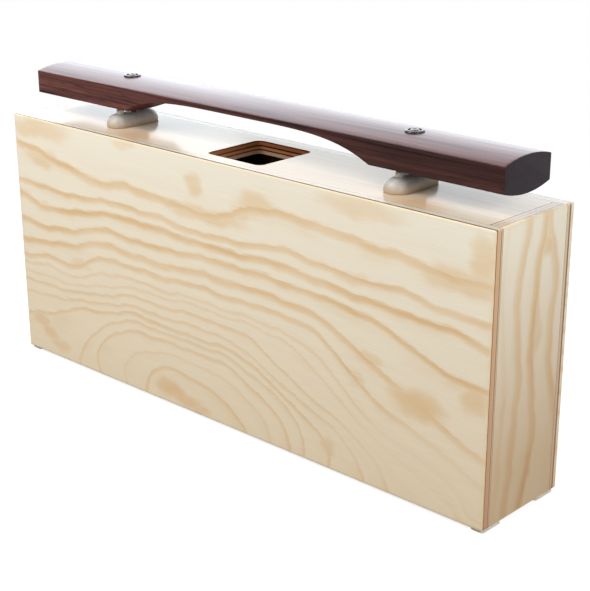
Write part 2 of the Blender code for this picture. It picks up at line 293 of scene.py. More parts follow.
def stand_in(name, points, faces, node):
    """Puts points and faces, which face outwards, into a mesh, and lets the piece stand in for a CAD node on
    that node's body. A cutter has no node."""
    mesh = bpy.data.meshes.new(name)
    mesh.from_pydata(np.asarray(points).reshape(-1, 3).tolist(), [], faces)
    mesh.validate()
    mesh.shade_smooth()
    mesh.set_sharp_from_angle(angle=SMOOTH_TO)
    piece = bpy.data.objects.new(name, mesh)
    bpy.context.scene.collection.objects.link(piece)
    if node:
        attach(piece, body_of(frame["nodes"][node])[0])
        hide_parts(node)
    return piece


def skin(points, ring=False):
    """Faces over loops of points, an array (loops, points in a loop, 3): face k of loop i joins points k and
    k + 1 of loops i and i + 1. A ring joins its last loop to its first; otherwise the first and last loop
    become end faces."""
    rows, columns = points.shape[:2]
    number = np.arange(rows * columns).reshape(rows, columns)
    if ring:
        number = np.vstack([number, number[:1]])
    ahead = np.roll(number, -1, axis=1)
    quads = np.stack([number[:-1], ahead[:-1], ahead[1:], number[1:]], -1).reshape(-1, 4).tolist()
    if not ring:
        quads += [number[0, ::-1].tolist(), number[-1].tolist()]
    return quads


# %% [markdown]
# ## The panels of the box
# The four walls are pine plywood with softly sanded outer edges. A panel could stay a plain CAD plate,
# but the veneer's figure is what the eye reads first, and it has to be drawn with care: so each wall is a
# fine grid of points that can carry numbers for its figure. The outer face is the grid, the edges are the
# grid's rim carried inwards, and the hidden inner face is one flat polygon. The eased edges come from one
# rule: no point lies further than the rounding's radius from a box that is that much smaller.

# %% Wall panels
EASED = 1.0 * MM               # radius of the sanded outer edges
FIGURE_PITCH = 2.0 * MM        # spacing of the grid that carries the figure
EASE_SHARES = np.array([0.0, 0.3, 0.65])
GLUED = 0.28 * MM              # the walls reach this far into the CAD's fitting gap, as glue leaves no gap
TINY = 1e-9                    # keeps a division from meeting zero


def eased_lines(low, high):
    """Grid lines from low to high: three close ones over each eased edge, then even steps of about the
    figure's pitch."""
    near = EASE_SHARES * EASED
    count = int(round((high - low - 2 * EASED) / FIGURE_PITCH))
    return np.concatenate([low + near, np.linspace(low + EASED, high - EASED, count + 1), high - near[::-1]])


def wall(node, depth_axis, outward):
    """A panel as a grid over its outer face plus its rim. A point p of the plain plate moves to
    c + (p - c) * min(1, r / |p - c|), where c is p held inside the box shrunk by the easing radius r."""
    low, high = (np.array(corner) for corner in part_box(node))
    if outward > 0:
        low[depth_axis] -= GLUED
    else:
        high[depth_axis] += GLUED
    u_axis, v_axis = [axis for axis in range(3) if axis != depth_axis]
    u, v = (eased_lines(low[axis], high[axis]) for axis in (u_axis, v_axis))
    thickness = high[depth_axis] - low[depth_axis]
    depths = np.concatenate([EASE_SHARES * EASED, [EASED, thickness / 2, thickness]])
    outer = high[depth_axis] if outward > 0 else low[depth_axis]

    number = np.arange(len(u) * len(v)).reshape(len(u), len(v))
    rim = np.concatenate([number[:-1, 0], number[-1, :-1], number[:0:-1, -1], number[0, :0:-1]])
    plate = np.stack(np.meshgrid(u, v, indexing="ij"), -1).reshape(-1, 2)
    flat = np.vstack([plate] + [plate[rim]] * (len(depths) - 1))
    inward = np.concatenate([np.zeros(len(plate)), np.repeat(depths[1:], len(rim))])
    points = np.empty((len(flat), 3))
    points[:, u_axis], points[:, v_axis] = flat.T
    points[:, depth_axis] = outer - outward * inward

    box_low, box_high = np.array(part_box("front_panel")[0]), np.array(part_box("back_panel")[1])
    core = np.clip(points, box_low + EASED, box_high - EASED)
    offset = points - core
    reach = np.linalg.norm(offset, axis=1, keepdims=True)
    points = core + offset * np.minimum(1, EASED / np.maximum(reach, TINY))

    loops = np.vstack([rim, len(plate) + np.arange(len(rim) * (len(depths) - 1)).reshape(-1, len(rim))])
    face = np.stack([number[:-1, :-1], number[1:, :-1], number[1:, 1:], number[:-1, 1:]], -1).reshape(-1, 4)
    ahead = np.roll(loops, -1, axis=1)
    edge = np.stack([loops[:-1], loops[1:], ahead[1:], ahead[:-1]], -1).reshape(-1, 4)
    faces = face.tolist() + edge.tolist() + [loops[-1, ::-1].tolist()]
    turned_in = (depth_axis == 1) == (outward > 0)
    if turned_in:
        faces = [corners[::-1] for corners in faces]
    piece = stand_in(node.replace("panel", "wall"), points, faces, node)
    return piece, points, inward


walls = {}
for node, depth_axis, outward in (("front_panel", 1, -1), ("back_panel", 1, 1),
                                  ("left_end_panel", 0, -1), ("right_end_panel", 0, 1)):
    walls[node] = wall(node, depth_axis, outward)
    print(node, len(walls[node][1]), "points")

# %% [markdown]
# ## The figure of the veneer
# Pine veneer is peeled or sliced, so each year's ring meets the surface as a line, and the lines wander,
# crowd and close into arches. They can be drawn with stretched noise, but noise never gives these arches
# where they are. So the ring lines are pencilled: each row below is one line, as heights in millimetres at
# even stations along the panel. Broad tan spots, where the cut runs along a ring, are added as soft ovals.

# %% Ring lines
STATIONS = np.linspace(-280, 280, 15)      # mm along the front, left to right
FACE_LINES = (                             # (strength, half height, heights in mm), lowest line first
    (0.50, 1.9, (-70, -60, -50, -35, 5, 37, 36, 27, 6, -20, -45, -60, -70, -80, -90)),
    (0.26, 1.5, (-55, -45, -30, -10, 38, 50, 51, 48, 33, 0, -25, -45, -60, -70, -80)),
    (0.48, 1.8, (-40, -30, -12, 43, 60, 62, 61, 63, 48, 23, -15, -35, -50, -60, -70)),
    (0.43, 1.6, (-25, -12, 18, 56, 70, 70, 69, 71, 60, 44, -2, -25, -38, -48, -58)),
    (0.51, 1.8, (38, 46, 62, 67, 78, 76, 75, 78, 70, 49, 30, -12, -28, -38, -48)),
    (0.41, 1.6, (62, 64, 70, 76, 85, 84, 86, 87, 77, 58, 46, 22, -12, -26, -36)),
    (0.47, 1.7, (75, 75, 78, 84, 95, 94, 97, 97, 94, 70, 55, 38, 8, -10, -20)),
    (0.34, 1.5, (84, 84, 85, 93, 103, 103, 107, 106, 106, 103, 80, 52, 34, 22, 4)),
    (0.38, 1.6, (92, 96, 92, 106, 112, 109, 113, 112, 112, 110, 97, 62, 47, 38, 10)),
    (0.60, 2.4, (99, 106, 102, 122, 123, 121, 125, 124, 124, 125, 117, 84, 67, 56, 36)),
    (0.66, 3.0, (116, 119, 124, 136, 135, 132, 138, 137, 138, 137, 132, 112, 94, 76, 58)),
    (0.70, 2.9, (138, 134, 138, 150, 149, 148, 152, 153, 153, 152, 150, 147, 136, 119, 117)),
    (0.74, 3.2, (163, 154, 157, 165, 167, 166, 165, 164, 166, 167, 162, 160, 157, 157, 149)),
    (0.68, 2.7, (175, 176, 172, 178, 178, 178, 174, 174, 177, 182, 176, 174, 176, 169, 168)),
    (0.72, 3.8, (214, 208, 200, 193, 198, 195, 192, 191, 210, 210, 208, 204, 202, 196, 196)),
)
FACE_SPOTS = (                             # (x, z, half length, half height, strength), mm
    (-238, 232, 42, 10, 0.52), (-268, 226, 14, 7, 0.45), (-240, 203, 27, 9, 0.55), (-120, 236, 15, 5, 0.38),
    (-30, 217, 10, 11, 0.58), (-17, 192, 48, 7, 0.55), (46, 212, 22, 11, 0.58), (26, 203, 12, 8, 0.50),
    (156, 232, 44, 9, 0.44), (252, 196, 38, 10, 0.58), (271, 216, 13, 20, 0.52), (148, 175, 20, 5, 0.40),
    (215, 88, 29, 13, 0.60), (269, 107, 14, 13, 0.52), (-258, 36, 13, 8, 0.52), (-244, 26, 13, 7, 0.48),
    (-228, 16, 15, 6, 0.42), (-68, 18, 22, 9, 0.58), (-48, 12, 18, 6, 0.50), (-28, 7, 14, 4, 0.42),
    (-190, 109, 15, 5, 0.34), (124, 23, 7, 9, 0.42), (154, 92, 9, 9, 0.32), (166, 112, 13, 6, 0.40),
    (-270, 163, 10, 5, 0.35), (-240, 156, 12, 5, 0.40),
)
FACE_PALE = ((225, 38, 95, 32, 0.72),)     # where the rings run out and hardly show, in the same numbers
LOOP = (36.0, 30.0, 18.0, -20.0, 60.0)     # mm: where and how the arches turn upright, see upright_loops
END_STATIONS = np.linspace(0, 240, 17)     # mm up the end panel
END_LINES = (                              # (strength, half width, place across in mm), front to back
    (0.20, 2.5, (-37, -36, -35, -34, -33, -32, -30, -29, -30, -32, -35, -37, -38, -38, -37, -36, -35)),
    (0.58, 4.2, (-23, -22, -20, -18, -17, -15, -14, -13, -12, -13, -16, -18, -20, -18, -13, -9, -8)),
    (0.72, 4.2, (-3, 0, 4, 8, 10, 11, 9, 5, 2, 2, 3, 4, 4, 4, 8, 13, 14)),
    (0.64, 4.4, (46, 46, 45, 44, 43, 40, 36, 31, 26, 26, 27, 29, 31, 30, 26, 18, 18)),
    (0.20, 3.0, (66, 66, 66, 66, 66, 64, 60, 56, 52, 51, 51, 52, 54, 54, 52, 48, 46)),
)
END_SPOTS = ((165, 6, 40, 5, 0.55), (146, 10, 14, 7, 0.48), (215, 17, 10, 10, 0.62), (98, -31, 24, 3, 0.30),
             (158, 28, 11, 5, 0.55), (34, 5, 8, 6, 0.55), (85, 42, 28, 6, 0.35))
print("pencilled:", len(FACE_LINES), "lines on the faces,", len(END_LINES), "on the ends")

# %% [markdown]
# Between two pencilled lines the ring number grows evenly, and the material will lay a band of late wood
# round each whole number. No real ring runs as smoothly as a pencilled one, so a few sines first shift
# the points by a millimetre or so.

# %% Ring numbers and spots
LINE_SOFTNESS, BELL_REACH = 9.0, 30        # mm over which a pencilled corner is smoothed, and counted at most
LEAST_GAP, OUTER_RING = 3.0, 30.0          # mm: least gap between lines, and gap to the next one outside
PAST_PANEL = 40.0                          # mm that the lines run on past the ends of a panel
RING_WAVES = ((0.5, 6.3, 17.0), (0.6, 10.5, -23.0), (0.25, 3.3, 13.0))   # mm: a sine's size, length and lean
SPOT_ALONG = ((1.4, 2.1, 13.0), (1.6, 5.3, -11.0))
SPOT_ACROSS = ((1.3, 7.2, 9.0), (0.5, 2.9, math.inf))
SPOT_POWER = 5.0                           # how steeply a spot's edge falls off


def waves(along, across, sines):
    """The sum over the sines of size * sin(along / length + across / lean)."""
    return sum(size * np.sin(along / length + across / lean) for size, length, lean in sines)


def ring_field(along, across, stations, lines):
    """Ring number, room between two lines, and the nearest line's half height and strength, at points (mm).
    Line k runs at height h_k, smoothed along the panel by a bell curve; the ring number is the sum over k of
    (across - h_k) / (h_k+1 - h_k), each held between 0 and 1."""
    strengths, halves, heights = (np.array(column, float) for column in zip(*lines))
    across = across + waves(along, across, RING_WAVES)
    fine = np.arange(stations[0] - PAST_PANEL, stations[-1] + PAST_PANEL + 0.5)
    bell = np.exp(-0.5 * (np.arange(-BELL_REACH, BELL_REACH + 1) / LINE_SOFTNESS) ** 2)
    bell /= bell.sum()
    drawn = [np.interp(fine, stations, line) for line in heights]
    drawn = [np.convolve(np.pad(line, BELL_REACH, mode="edge"), bell, "valid") for line in drawn]
    drawn = np.array([drawn[0] - OUTER_RING, *drawn, drawn[-1] + OUTER_RING])
    spread = LEAST_GAP * np.arange(len(drawn))[:, None]
    drawn = np.maximum.accumulate(drawn - spread, axis=0) + spread
    placed = np.array([np.interp(along, fine, line) for line in drawn])
    rooms = np.diff(placed, axis=0)
    ring = np.clip((across - placed[:-1]) / rooms, 0, 1).sum(0)
    room = np.take_along_axis(rooms, np.minimum(ring.astype(int), len(rooms) - 1)[None], 0)[0]
    nearest = np.round(ring).astype(int)
    return ring, room, np.pad(halves, 1, mode="edge")[nearest], np.pad(strengths, 1)[nearest]


def upright_loops(along, across):
    """Near the foot of a face the arches close: a point moves outwards from x = -20 mm by 18 mm times the
    square of its depth below 36 mm, counted in 30 mm, so lines that would slope there stand upright."""
    start, depth, shift, middle, width = LOOP
    below = np.maximum(start - across, 0) / depth
    return along + shift * below ** 2 * np.tanh((along - middle) / width), across


def spot_field(along, across, spots):
    """The tan spots at points (mm): each is strength * exp(-(distance in its own half sizes) ** 5), and the
    most wins. Sines first shift the points, so that no spot keeps a plain oval edge."""
    at = np.array(spots)[:, :, None]
    along, across = along + waves(across, along, SPOT_ALONG), across + waves(along, across, SPOT_ACROSS)
    away = ((along - at[:, 0]) / at[:, 2]) ** 2 + ((across - at[:, 1]) / at[:, 3]) ** 2
    return (at[:, 4] * np.exp(-away ** (SPOT_POWER / 2))).max(0)


figure = walls["front_panel"][1] / MM
sample = ring_field(figure[:, 0], figure[:, 2], STATIONS, FACE_LINES)
print("rings on the front:", round(float(sample[0].min()), 1), "to", round(float(sample[0].max()), 1))

# %% [markdown]
# The four walls each get their own stretch of that figure. The back is the same log turned over, and the left
# end is the right end's neighbour upside down, as two sheets cut side by side would be. Besides the figure a
# point also carries how deep it lies in the sheet, for the plies on the edges, how near it is to a sanded
# corner, and how far down the wall it is, for a painted shade that darkens the wood towards the foot.

# %% Figure on the walls
CORNER_REACH = 1.6             # mm over which a sanded corner shows
BACK_STRETCH, BACK_SHIFT = 0.88, 22.0
TURNED_OVER = 243.0            # the top and bottom heights of the walls add up to this many mm
SHADE_REACH = (237.0, 195.0)   # mm below the top at which the painted shade is darkest, on the faces and on the ends

box_low, box_high = (np.array(v) / MM for v in (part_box("front_panel")[0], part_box("back_panel")[1]))
for node, (piece, points, inward) in walls.items():
    x, y, z = points.T / MM
    place = {"front_panel": (x, z), "back_panel": (BACK_SHIFT - BACK_STRETCH * x, TURNED_OVER - z),
             "right_end_panel": (z, y), "left_end_panel": (TURNED_OVER - z, -y)}[node]
    if "end" in node:
        spots = END_SPOTS
        ring, room, half, strength = ring_field(*place, END_STATIONS, END_LINES)
    else:
        spots = FACE_SPOTS
        ring, room, half, strength = ring_field(*upright_loops(*place), STATIONS, FACE_LINES)
        strength = strength * (1 - spot_field(*place, FACE_PALE))
    to_sides = np.sort(np.minimum(points / MM - box_low, box_high - points / MM), axis=1)
    carried = {"ring": ring, "room": room, "half": half, "line": strength,
               "spot": spot_field(*place, spots), "depth": inward / MM,
               "corner": np.exp(-(to_sides[:, 1] / CORNER_REACH) ** 2),
               # painted shade: the wood is drawn darker towards the foot of each wall
               "painted_shade": np.clip((box_high[2] - z) / SHADE_REACH["end" in node], 0, 1)}
    for name, values in carried.items():
        layer = piece.data.attributes.new(name, "FLOAT", "POINT")
        layer.data.foreach_set("value", values.astype(np.float32))
    print(node, {name: round(float(values.mean()), 2) for name, values in carried.items()})

# %% [markdown]
# ## Pine plywood under clear lacquer
# The real sheet is rotary-cut pine: cream early wood, honey-coloured late wood, and on the edges the
# plies, where the crossed core shows darker end grain between two glue lines. A clear lacquer lies over
# it all, so the wood is matt underneath and a smooth coat on top mirrors the studio. Four materials share
# the functions below: the front, the back, the ends, and the top and bottom. The first function draws the
# late wood. A band is crisp above and fades out below, where a tan wash follows it in patches, and its
# edges are ragged.

# %% Late wood
FIBRE = (26.0, 0.9)            # mm: length and width of the drawn fibre; real fibre is finer than a pixel
TEETH, FRINGE = (11.0, 1.6), 1.1   # mm: length and width of a band's ragged teeth, and how far they reach
FRINGE_NOISE = (0.6, 1.4)      # the sum of two noises hardly leaves this range
CLOUD = (70.0, 22.0)           # mm: length and height of the soft changes of shade along a ring
CLOUD_NOISE = (0.3, 0.7)       # a noise hardly leaves this range
PATCHY = (0.80, 1.12)          # how strong a band is where the clouds are palest and darkest
HAIRS = (7.0, 0.05)            # thin lines between the bands: how close they are, and how strong
WASH, WASH_REACH = 0.50, 0.50  # strength and share of a ring of the tan wash below a line
WASH_NOISE = (0.42, 0.60)      # the wash shows only where the clouds are darker than this
BAND_REACH = 1.8               # a late wood band fades out this many half heights from its line
BAND = ((-1.8, 0.0), (-1.25, 0.28), (-0.90, 0.62), (-0.45, 0.86), (0.10, 0.97), (0.60, 1.0), (0.95, 0.68),
        (1.30, 0.14), (1.8, 0.0))   # how dark it is across, from below to above


def late_wood(tree, given, axis, fibre):
    """How dark the late wood is, and how tan the whole figure. A point lies (ring number - nearest whole
    number) * room + fringe mm above its line; that distance, in the line's half heights, looks up BAND."""
    cloud = grain_noise(tree, axis, CLOUD, 2.0)
    teeth = grain_noise(tree, axis, TEETH, 2.0)
    fringe = add(tree, "Math", {0: fibre, 1: teeth}, operation="ADD")
    fringe = add(tree, "MapRange", {"Value": fringe, **span(*FRINGE_NOISE, -FRINGE, FRINGE)})
    above = add(tree, "Math", {0: given["ring"], 1: 0.5}, operation="ADD")
    above = add(tree, "Math", {0: above}, operation="FRACT")
    above = add(tree, "Math", {0: above, 1: 0.5}, operation="SUBTRACT")
    above = add(tree, "Math", {0: above, 1: given["room"], 2: fringe}, operation="MULTIPLY_ADD")
    share = add(tree, "Math", {0: above, 1: given["half"]}, operation="DIVIDE")
    share = add(tree, "MapRange", {"Value": share, **span(-BAND_REACH, BAND_REACH)})
    across = [(0.5 + at / (2 * BAND_REACH), grey(dark)) for at, dark in BAND]
    late = add(tree, "ValToRGB", {0: share}, stops=across)
    patchy = add(tree, "MapRange", {"Value": cloud, **span(*CLOUD_NOISE, *PATCHY)})
    drawn = add(tree, "Math", {0: given["line"], 1: patchy}, operation="MULTIPLY")
    late = add(tree, "Math", {0: late, 1: drawn}, operation="MULTIPLY", use_clamp=True)

    hair = add(tree, "Math", {0: given["ring"], 1: HAIRS[0], 2: fringe}, operation="MULTIPLY_ADD")
    hair = add(tree, "Math", {0: hair}, operation="SINE")
    hair = add(tree, "Math", {0: hair, 1: HAIRS[1]}, operation="MULTIPLY")
    tan = add(tree, "Math", {0: given["spot"], 1: hair}, operation="ADD")
    tan = add(tree, "Math", {0: late, 1: tan}, operation="MAXIMUM", use_clamp=True)
    wash = add(tree, "Math", {0: given["ring"]}, operation="FRACT")
    wash = add(tree, "MapRange", {"Value": wash, **span(1 - WASH_REACH, 1.0)})
    wash = add(tree, "Math", {0: wash, 1: given["line"]}, operation="MULTIPLY")
    patchy = add(tree, "MapRange", {"Value": cloud, **span(*WASH_NOISE, 0.0, WASH)})
    wash = add(tree, "Math", {0: wash, 1: patchy}, operation="MULTIPLY")
    return late, add(tree, "Math", {0: wash, 1: tan}, operation="MAXIMUM", use_clamp=True)


print("a band is darkest", max(BAND, key=lambda stop: stop[1])[0], "half heights above its line")

# %% [markdown]
# On a cut edge the sheet shows its plies. Because the core runs crosswise, an edge that cuts the core's
# fibres across runs along the fibres of the veneers, so each ply has one colour on upright and one on
# level edges.

# %% Plies
SAP_WOOD, TOP_WOOD = "#EFE8D7", "#E0D5C3"
# The second of these colours is painted shade: the inner faces, which no light reaches, are drawn nearly
# black.
# The third of these colours is painted shade: the browner colour of the edges at the foot of a wall.
GLUE, INSIDE_SHADE, SHADED_CORE = "#8A6441", "#17110D", "#A8734C"
PLY_REACH = 12.0               # mm: the thickest sheet, over which the plies' depths are spread
EDGE_PORE = 0.8                # mm: pores of the end grain, drawn coarser than real ones
EDGE_PORES = (0.35, 0.7, 0.25)   # the noise between which pores show, and how strongly
LOW_EDGE_SHADE = 0.5              # painted shade: how far the edges turn to a browner colour at the foot of a wall


def ply_edges(tree, given, plies):
    """The colour of an edge at a depth: a ramp of steps for upright edges and one for level edges, mixed by
    how far the edge faces up or down, then pores, then a browner tone low on the box, which is painted shade."""
    facing = add(tree, "SeparateXYZ", {0: add(tree, "NewGeometry", out="Normal")}, out="Z")
    facing = add(tree, "Math", {0: facing}, operation="ABSOLUTE")
    share = add(tree, "Math", {0: given["depth"], 1: PLY_REACH}, operation="DIVIDE")
    ramps = []
    for side in (1, 2):
        steps = [(0.0, linear(plies[0][side]))]
        steps += [(ply[0] / PLY_REACH, linear(ply[side])) for ply in plies]
        ramps.append(add(tree, "ValToRGB", {0: share}, stops=steps))
        ramps[-1].node.color_ramp.interpolation = "CONSTANT"
    layer = add(tree, "Mix", {0: facing, MIX_A: ramps[0], MIX_B: ramps[1]}, **BLEND)
    pores = add(tree, "TexNoise", {"Vector": add(tree, "TexCoord", out="Object"),
                                   "Scale": 1 / (EDGE_PORE * MM), "Detail": 2.0})
    pores = add(tree, "MapRange", {"Value": pores, **span(*EDGE_PORES[:2], 0.0, EDGE_PORES[2])})
    layer = add(tree, "Mix", {0: pores, MIX_A: layer, MIX_B: linear(GLUE)}, **BLEND)
    low_down = add(tree, "Math", {0: given["painted_shade"], 1: LOW_EDGE_SHADE}, operation="MULTIPLY")
    return add(tree, "Mix", {0: low_down, MIX_A: layer, MIX_B: linear(SHADED_CORE)}, **BLEND)


FACE_PLIES = ((1.3, "#7E5638", "#5A3722"), (2.2, "#DDB48A", "#5A3722"), (3.0, "#DDB48A", TOP_WOOD),
              (6.8, "#7E5638", TOP_WOOD), (7.6, "#DCC8A6", TOP_WOOD), (8.97, INSIDE_SHADE, INSIDE_SHADE))
BACK_PLIES = ((4.0, "#86623F", SAP_WOOD), (6.0, "#DCC8A6", SAP_WOOD), (8.97, INSIDE_SHADE, INSIDE_SHADE))
END_PLIES = ((3.4, GLUE, "#A98461"), (4.0, "#E0BC86", "#D9C3A6"), (7.7, GLUE, "#A98461"),
             (8.3, SAP_WOOD, "#D9C3A6"), (11.2, GLUE, "#8A6244"), (11.97, INSIDE_SHADE, INSIDE_SHADE))
# The plate's edges, seen round the sound opening, are drawn in dark browns: the plies' own colour and painted
# shade inside the opening.
TOP_PLIES = ((0.2, "#4A2012", "#4A2012"), (1.2, "#C6764A", "#C6764A"), (3.9, "#32140A", "#32140A"),
             (5.3, "#D69468", "#D69468"), (7.6, "#3E1C0E", "#3E1C0E"), (8.9, "#E6BC9C", "#E6BC9C"),
             (11.97, INSIDE_SHADE, INSIDE_SHADE))
print("steps on an edge:", [len(plies) for plies in (FACE_PLIES, BACK_PLIES, END_PLIES, TOP_PLIES)])

# %% [markdown]
# Now the wood itself. Late wood is a stain on the early wood's colour and not a colour of its own, as in the
# real sheet, so the painted shade, which darkens the pale wood towards the foot of a wall and towards the
# front of the top, goes on underneath it. The eye sees a warm matt wood with a thin, even gloss over it, and
# no gloss on the sanded corners.

# %% Pine plywood
# The third stain is the top's tan, for its late wood and for the painted shadow beside each rest.
LATE_STAIN, RING_STAIN, TAN_AND_SHADOW_STAIN = "#EFCFA0", "#F3EBE0", "#EEBF8C"   # these multiply the wood's colour
SANDED = "#E8D0A8"
RING_CORE = (0.55, 0.95)       # late wood between these takes more and more of the ring stain too
FIBRE_NOISE, FIBRE_SHADE = (0.25, 0.75), (0.97, 1.025)   # the fibre's own range, and how it shades the wood
WOOD_ROUGH = (0.42, 0.62)
FIBRE_RELIEF = (0.08, 0.1)     # strength, and height in mm
SANDED_COAT, LACQUER_IOR = 0.10, 1.5


def pine(name, grain_axis, source, shaded_wood, late_stain, plies, coat=(0.74, 0.20)):
    """Clear-lacquered pine plywood. source(tree) gives the sockets ring, room, half, line, spot, depth,
    corner and the painted shade, which darkens the pale sap wood towards the colour given after source;
    late_stain is what late wood multiplies it by; plies are (depth in mm, colour on upright edges, colour on
    level edges), from the outer veneer inwards. coat is the lacquer's weight and roughness; it is thin on
    sanded corners."""
    material, tree = blank(name)
    given = source(tree)
    fibre = grain_noise(tree, grain_axis, FIBRE, 3.0)
    late, tan = late_wood(tree, given, grain_axis, fibre)

    wood = add(tree, "Mix", {0: given["painted_shade"], MIX_A: linear(SAP_WOOD), MIX_B: linear(shaded_wood)}, **BLEND)
    wood = add(tree, "Mix", {0: tan, MIX_A: wood, MIX_B: linear(late_stain)}, **STAIN)
    core = add(tree, "MapRange", {"Value": late, **span(*RING_CORE)})
    wood = add(tree, "Mix", {0: core, MIX_A: wood, MIX_B: linear(RING_STAIN)}, **STAIN)
    rubbed = add(tree, "Math", {0: given["corner"], 1: fibre}, operation="MULTIPLY", use_clamp=True)
    wood = add(tree, "Mix", {0: rubbed, MIX_A: wood, MIX_B: linear(SANDED)}, **BLEND)
    cut = add(tree, "Math", {0: given["depth"], 1: plies[0][0]}, operation="GREATER_THAN")
    wood = add(tree, "Mix", {0: cut, MIX_A: wood, MIX_B: ply_edges(tree, given, plies)}, **BLEND)
    shade = add(tree, "MapRange", {"Value": fibre, **span(*FIBRE_NOISE, *FIBRE_SHADE)})
    wood = add(tree, "Mix", {0: 1.0, MIX_A: wood, MIX_B: shade}, **STAIN)

    rough = add(tree, "MapRange", {"Value": fibre, **span(0.0, 1.0, *WOOD_ROUGH)})
    bump = add(tree, "Bump", {"Strength": FIBRE_RELIEF[0], "Distance": FIBRE_RELIEF[1] * MM, "Height": fibre})
    lacquer, coat_rough = coat
    if isinstance(given["corner"], bpy.types.NodeSocket):
        lacquer = add(tree, "MapRange", {"Value": given["corner"], **span(0.0, 1.0, lacquer, SANDED_COAT)})
    body = add(tree, "BsdfPrincipled", {
        "Base Color": wood, "Roughness": rough, "Normal": bump, "Specular IOR Level": 0.0,
        "Coat Weight": lacquer, "Coat Roughness": coat_rough, "Coat IOR": LACQUER_IOR})
    add(tree, "OutputMaterial", {0: body})
    return material


print("stains in linear light:", [[round(v, 2) for v in linear(s)[:3]] for s in (LATE_STAIN, RING_STAIN)])

# %% [markdown]
# The figure comes from two sources. On the walls it is read from the numbers on the grid. The top and bottom
# panels stay CAD plates, whose few corner points can carry no figure, so there it is worked out from the
# Object coordinates: straight rings along the plate, and a tan patch beside each rest, which is a painted
# shadow where the rest keeps the glare off the lacquer.

# %% Pine on the panels
def on_grid(tree):
    """The figure's numbers, read from the wall's own points."""
    return {name: add(tree, "Attribute", out="Fac", attribute_name=name)
            for name in ("ring", "room", "half", "line", "spot", "depth", "corner", "painted_shade")}


TOP_RING, TOP_SWAY = (9.0, 240.0, 26.0), 3.0   # mm: ring spacing, length and width of the sway; sway in rings
TOP_HALF, TOP_LINE = 1.4, (0.05, 0.3)   # mm: half height of a line; least and most strength
SHADE_ACROSS = (-30.0, 35.0)   # mm: painted shade, the top is drawn darker at the front and paler at the back
REST_SHADOW_PATCH = (161.0, -34.0, 40.0, 27.0)   # mm: a painted shadow beside each rest, in tan: its middle and half sizes
REST_SHADOW_SHIFT = 34.0            # mm: the two painted shadows lie this far right of the middle of the box
REST_SHADOW_EDGE, REST_SHADOW_TAN = (1.0, 0.25), (0.08, 0.62)   # in half sizes: where the painted shadow starts and is full; how tan


def on_plate(tree):
    """The same numbers from Object coordinates: rings run along the plate, and depth is the distance in mm to
    the nearer of the box's top and bottom faces."""
    place = add(tree, "TexCoord", out="Object")
    xyz = add(tree, "SeparateXYZ", {0: place}, out=None)
    spacing, length, width = TOP_RING
    sway = add(tree, "Mapping", {"Vector": place, "Scale": [1 / (length * MM), 1 / (width * MM), 1.0]})
    sway = add(tree, "TexNoise", {"Vector": sway, "Scale": 1.0, "Detail": 1.0})
    sway = add(tree, "Math", {0: sway, 1: TOP_SWAY}, operation="MULTIPLY")
    ring = add(tree, "Math", {0: xyz.outputs["Y"], 1: 1 / (spacing * MM), 2: sway}, operation="MULTIPLY_ADD")
    line = add(tree, "MapRange", {"Value": sway, **span(0.0, TOP_SWAY, *TOP_LINE)})
    from_top = add(tree, "Math", {0: xyz.outputs["Z"], 1: -1 / MM, 2: box_high[2]}, operation="MULTIPLY_ADD")
    from_low = add(tree, "Math", {0: xyz.outputs["Z"], 1: 1 / MM, 2: -box_low[2]}, operation="MULTIPLY_ADD")
    depth = add(tree, "Math", {0: from_top, 1: from_low}, operation="MINIMUM")
    # Painted shadow: a tan patch beside each rest.
    beside = add(tree, "Math", {0: xyz.outputs["X"], 1: REST_SHADOW_SHIFT * MM}, operation="SUBTRACT")
    beside = add(tree, "Math", {0: beside}, operation="ABSOLUTE")
    beside = add(tree, "CombineXYZ", {0: beside, 1: xyz.outputs["Y"]})
    middle_x, middle_y, half_x, half_y = (size * MM for size in REST_SHADOW_PATCH)
    beside = add(tree, "VectorMath", {0: beside, 1: (middle_x, middle_y, 0.0)}, operation="SUBTRACT")
    beside = add(tree, "VectorMath", {0: beside, 1: (1 / half_x, 1 / half_y, 0.0)}, operation="MULTIPLY")
    beside = add(tree, "VectorMath", {0: beside}, out="Value", operation="LENGTH")
    streak = add(tree, "MapRange", {"Value": beside, **span(*REST_SHADOW_EDGE, *REST_SHADOW_TAN)})
    # Painted shade: the top is drawn darker at the front than at the back.
    front, back = (edge * MM for edge in SHADE_ACROSS)
    painted_shade = add(tree, "MapRange", {"Value": xyz.outputs["Y"], **span(front, back, 1.0, 0.0)})
    return {"ring": ring, "room": spacing, "half": TOP_HALF, "line": line, "spot": streak, "depth": depth,
            "corner": 0.0, "painted_shade": painted_shade}


SHADED_WOOD, END_SHADED_WOOD = "#E8D6B8", "#CDB38E"   # painted shade: the colours that the faces and the ends darken to at their foot
PLATE_COAT = (0.57, 0.15)      # weight and roughness: the top's lacquer is thinner and smoother
pine_face = pine("pine_plywood_lacquered_face", 0, on_grid, SHADED_WOOD, LATE_STAIN, FACE_PLIES)
pine_back = pine("pine_plywood_lacquered_back", 0, on_grid, SHADED_WOOD, LATE_STAIN, BACK_PLIES)
pine_end = pine("pine_plywood_lacquered_end", 2, on_grid, END_SHADED_WOOD, LATE_STAIN, END_PLIES)
pine_plate = pine("pine_plywood_lacquered_plate", 0, on_plate, TOP_WOOD, TAN_AND_SHADOW_STAIN, TOP_PLIES, PLATE_COAT)

for node, (piece, _, _) in walls.items():
    piece.data.materials.append({"front": pine_face, "back": pine_back}.get(node.split("_")[0], pine_end))
for node in ("top_panel", "bottom_panel"):
    plate = frame["nodes"][node]
    plate.data.materials.clear()
    plate.data.materials.append(pine_plate)
print("pine on", sorted(walls), "top_panel bottom_panel")

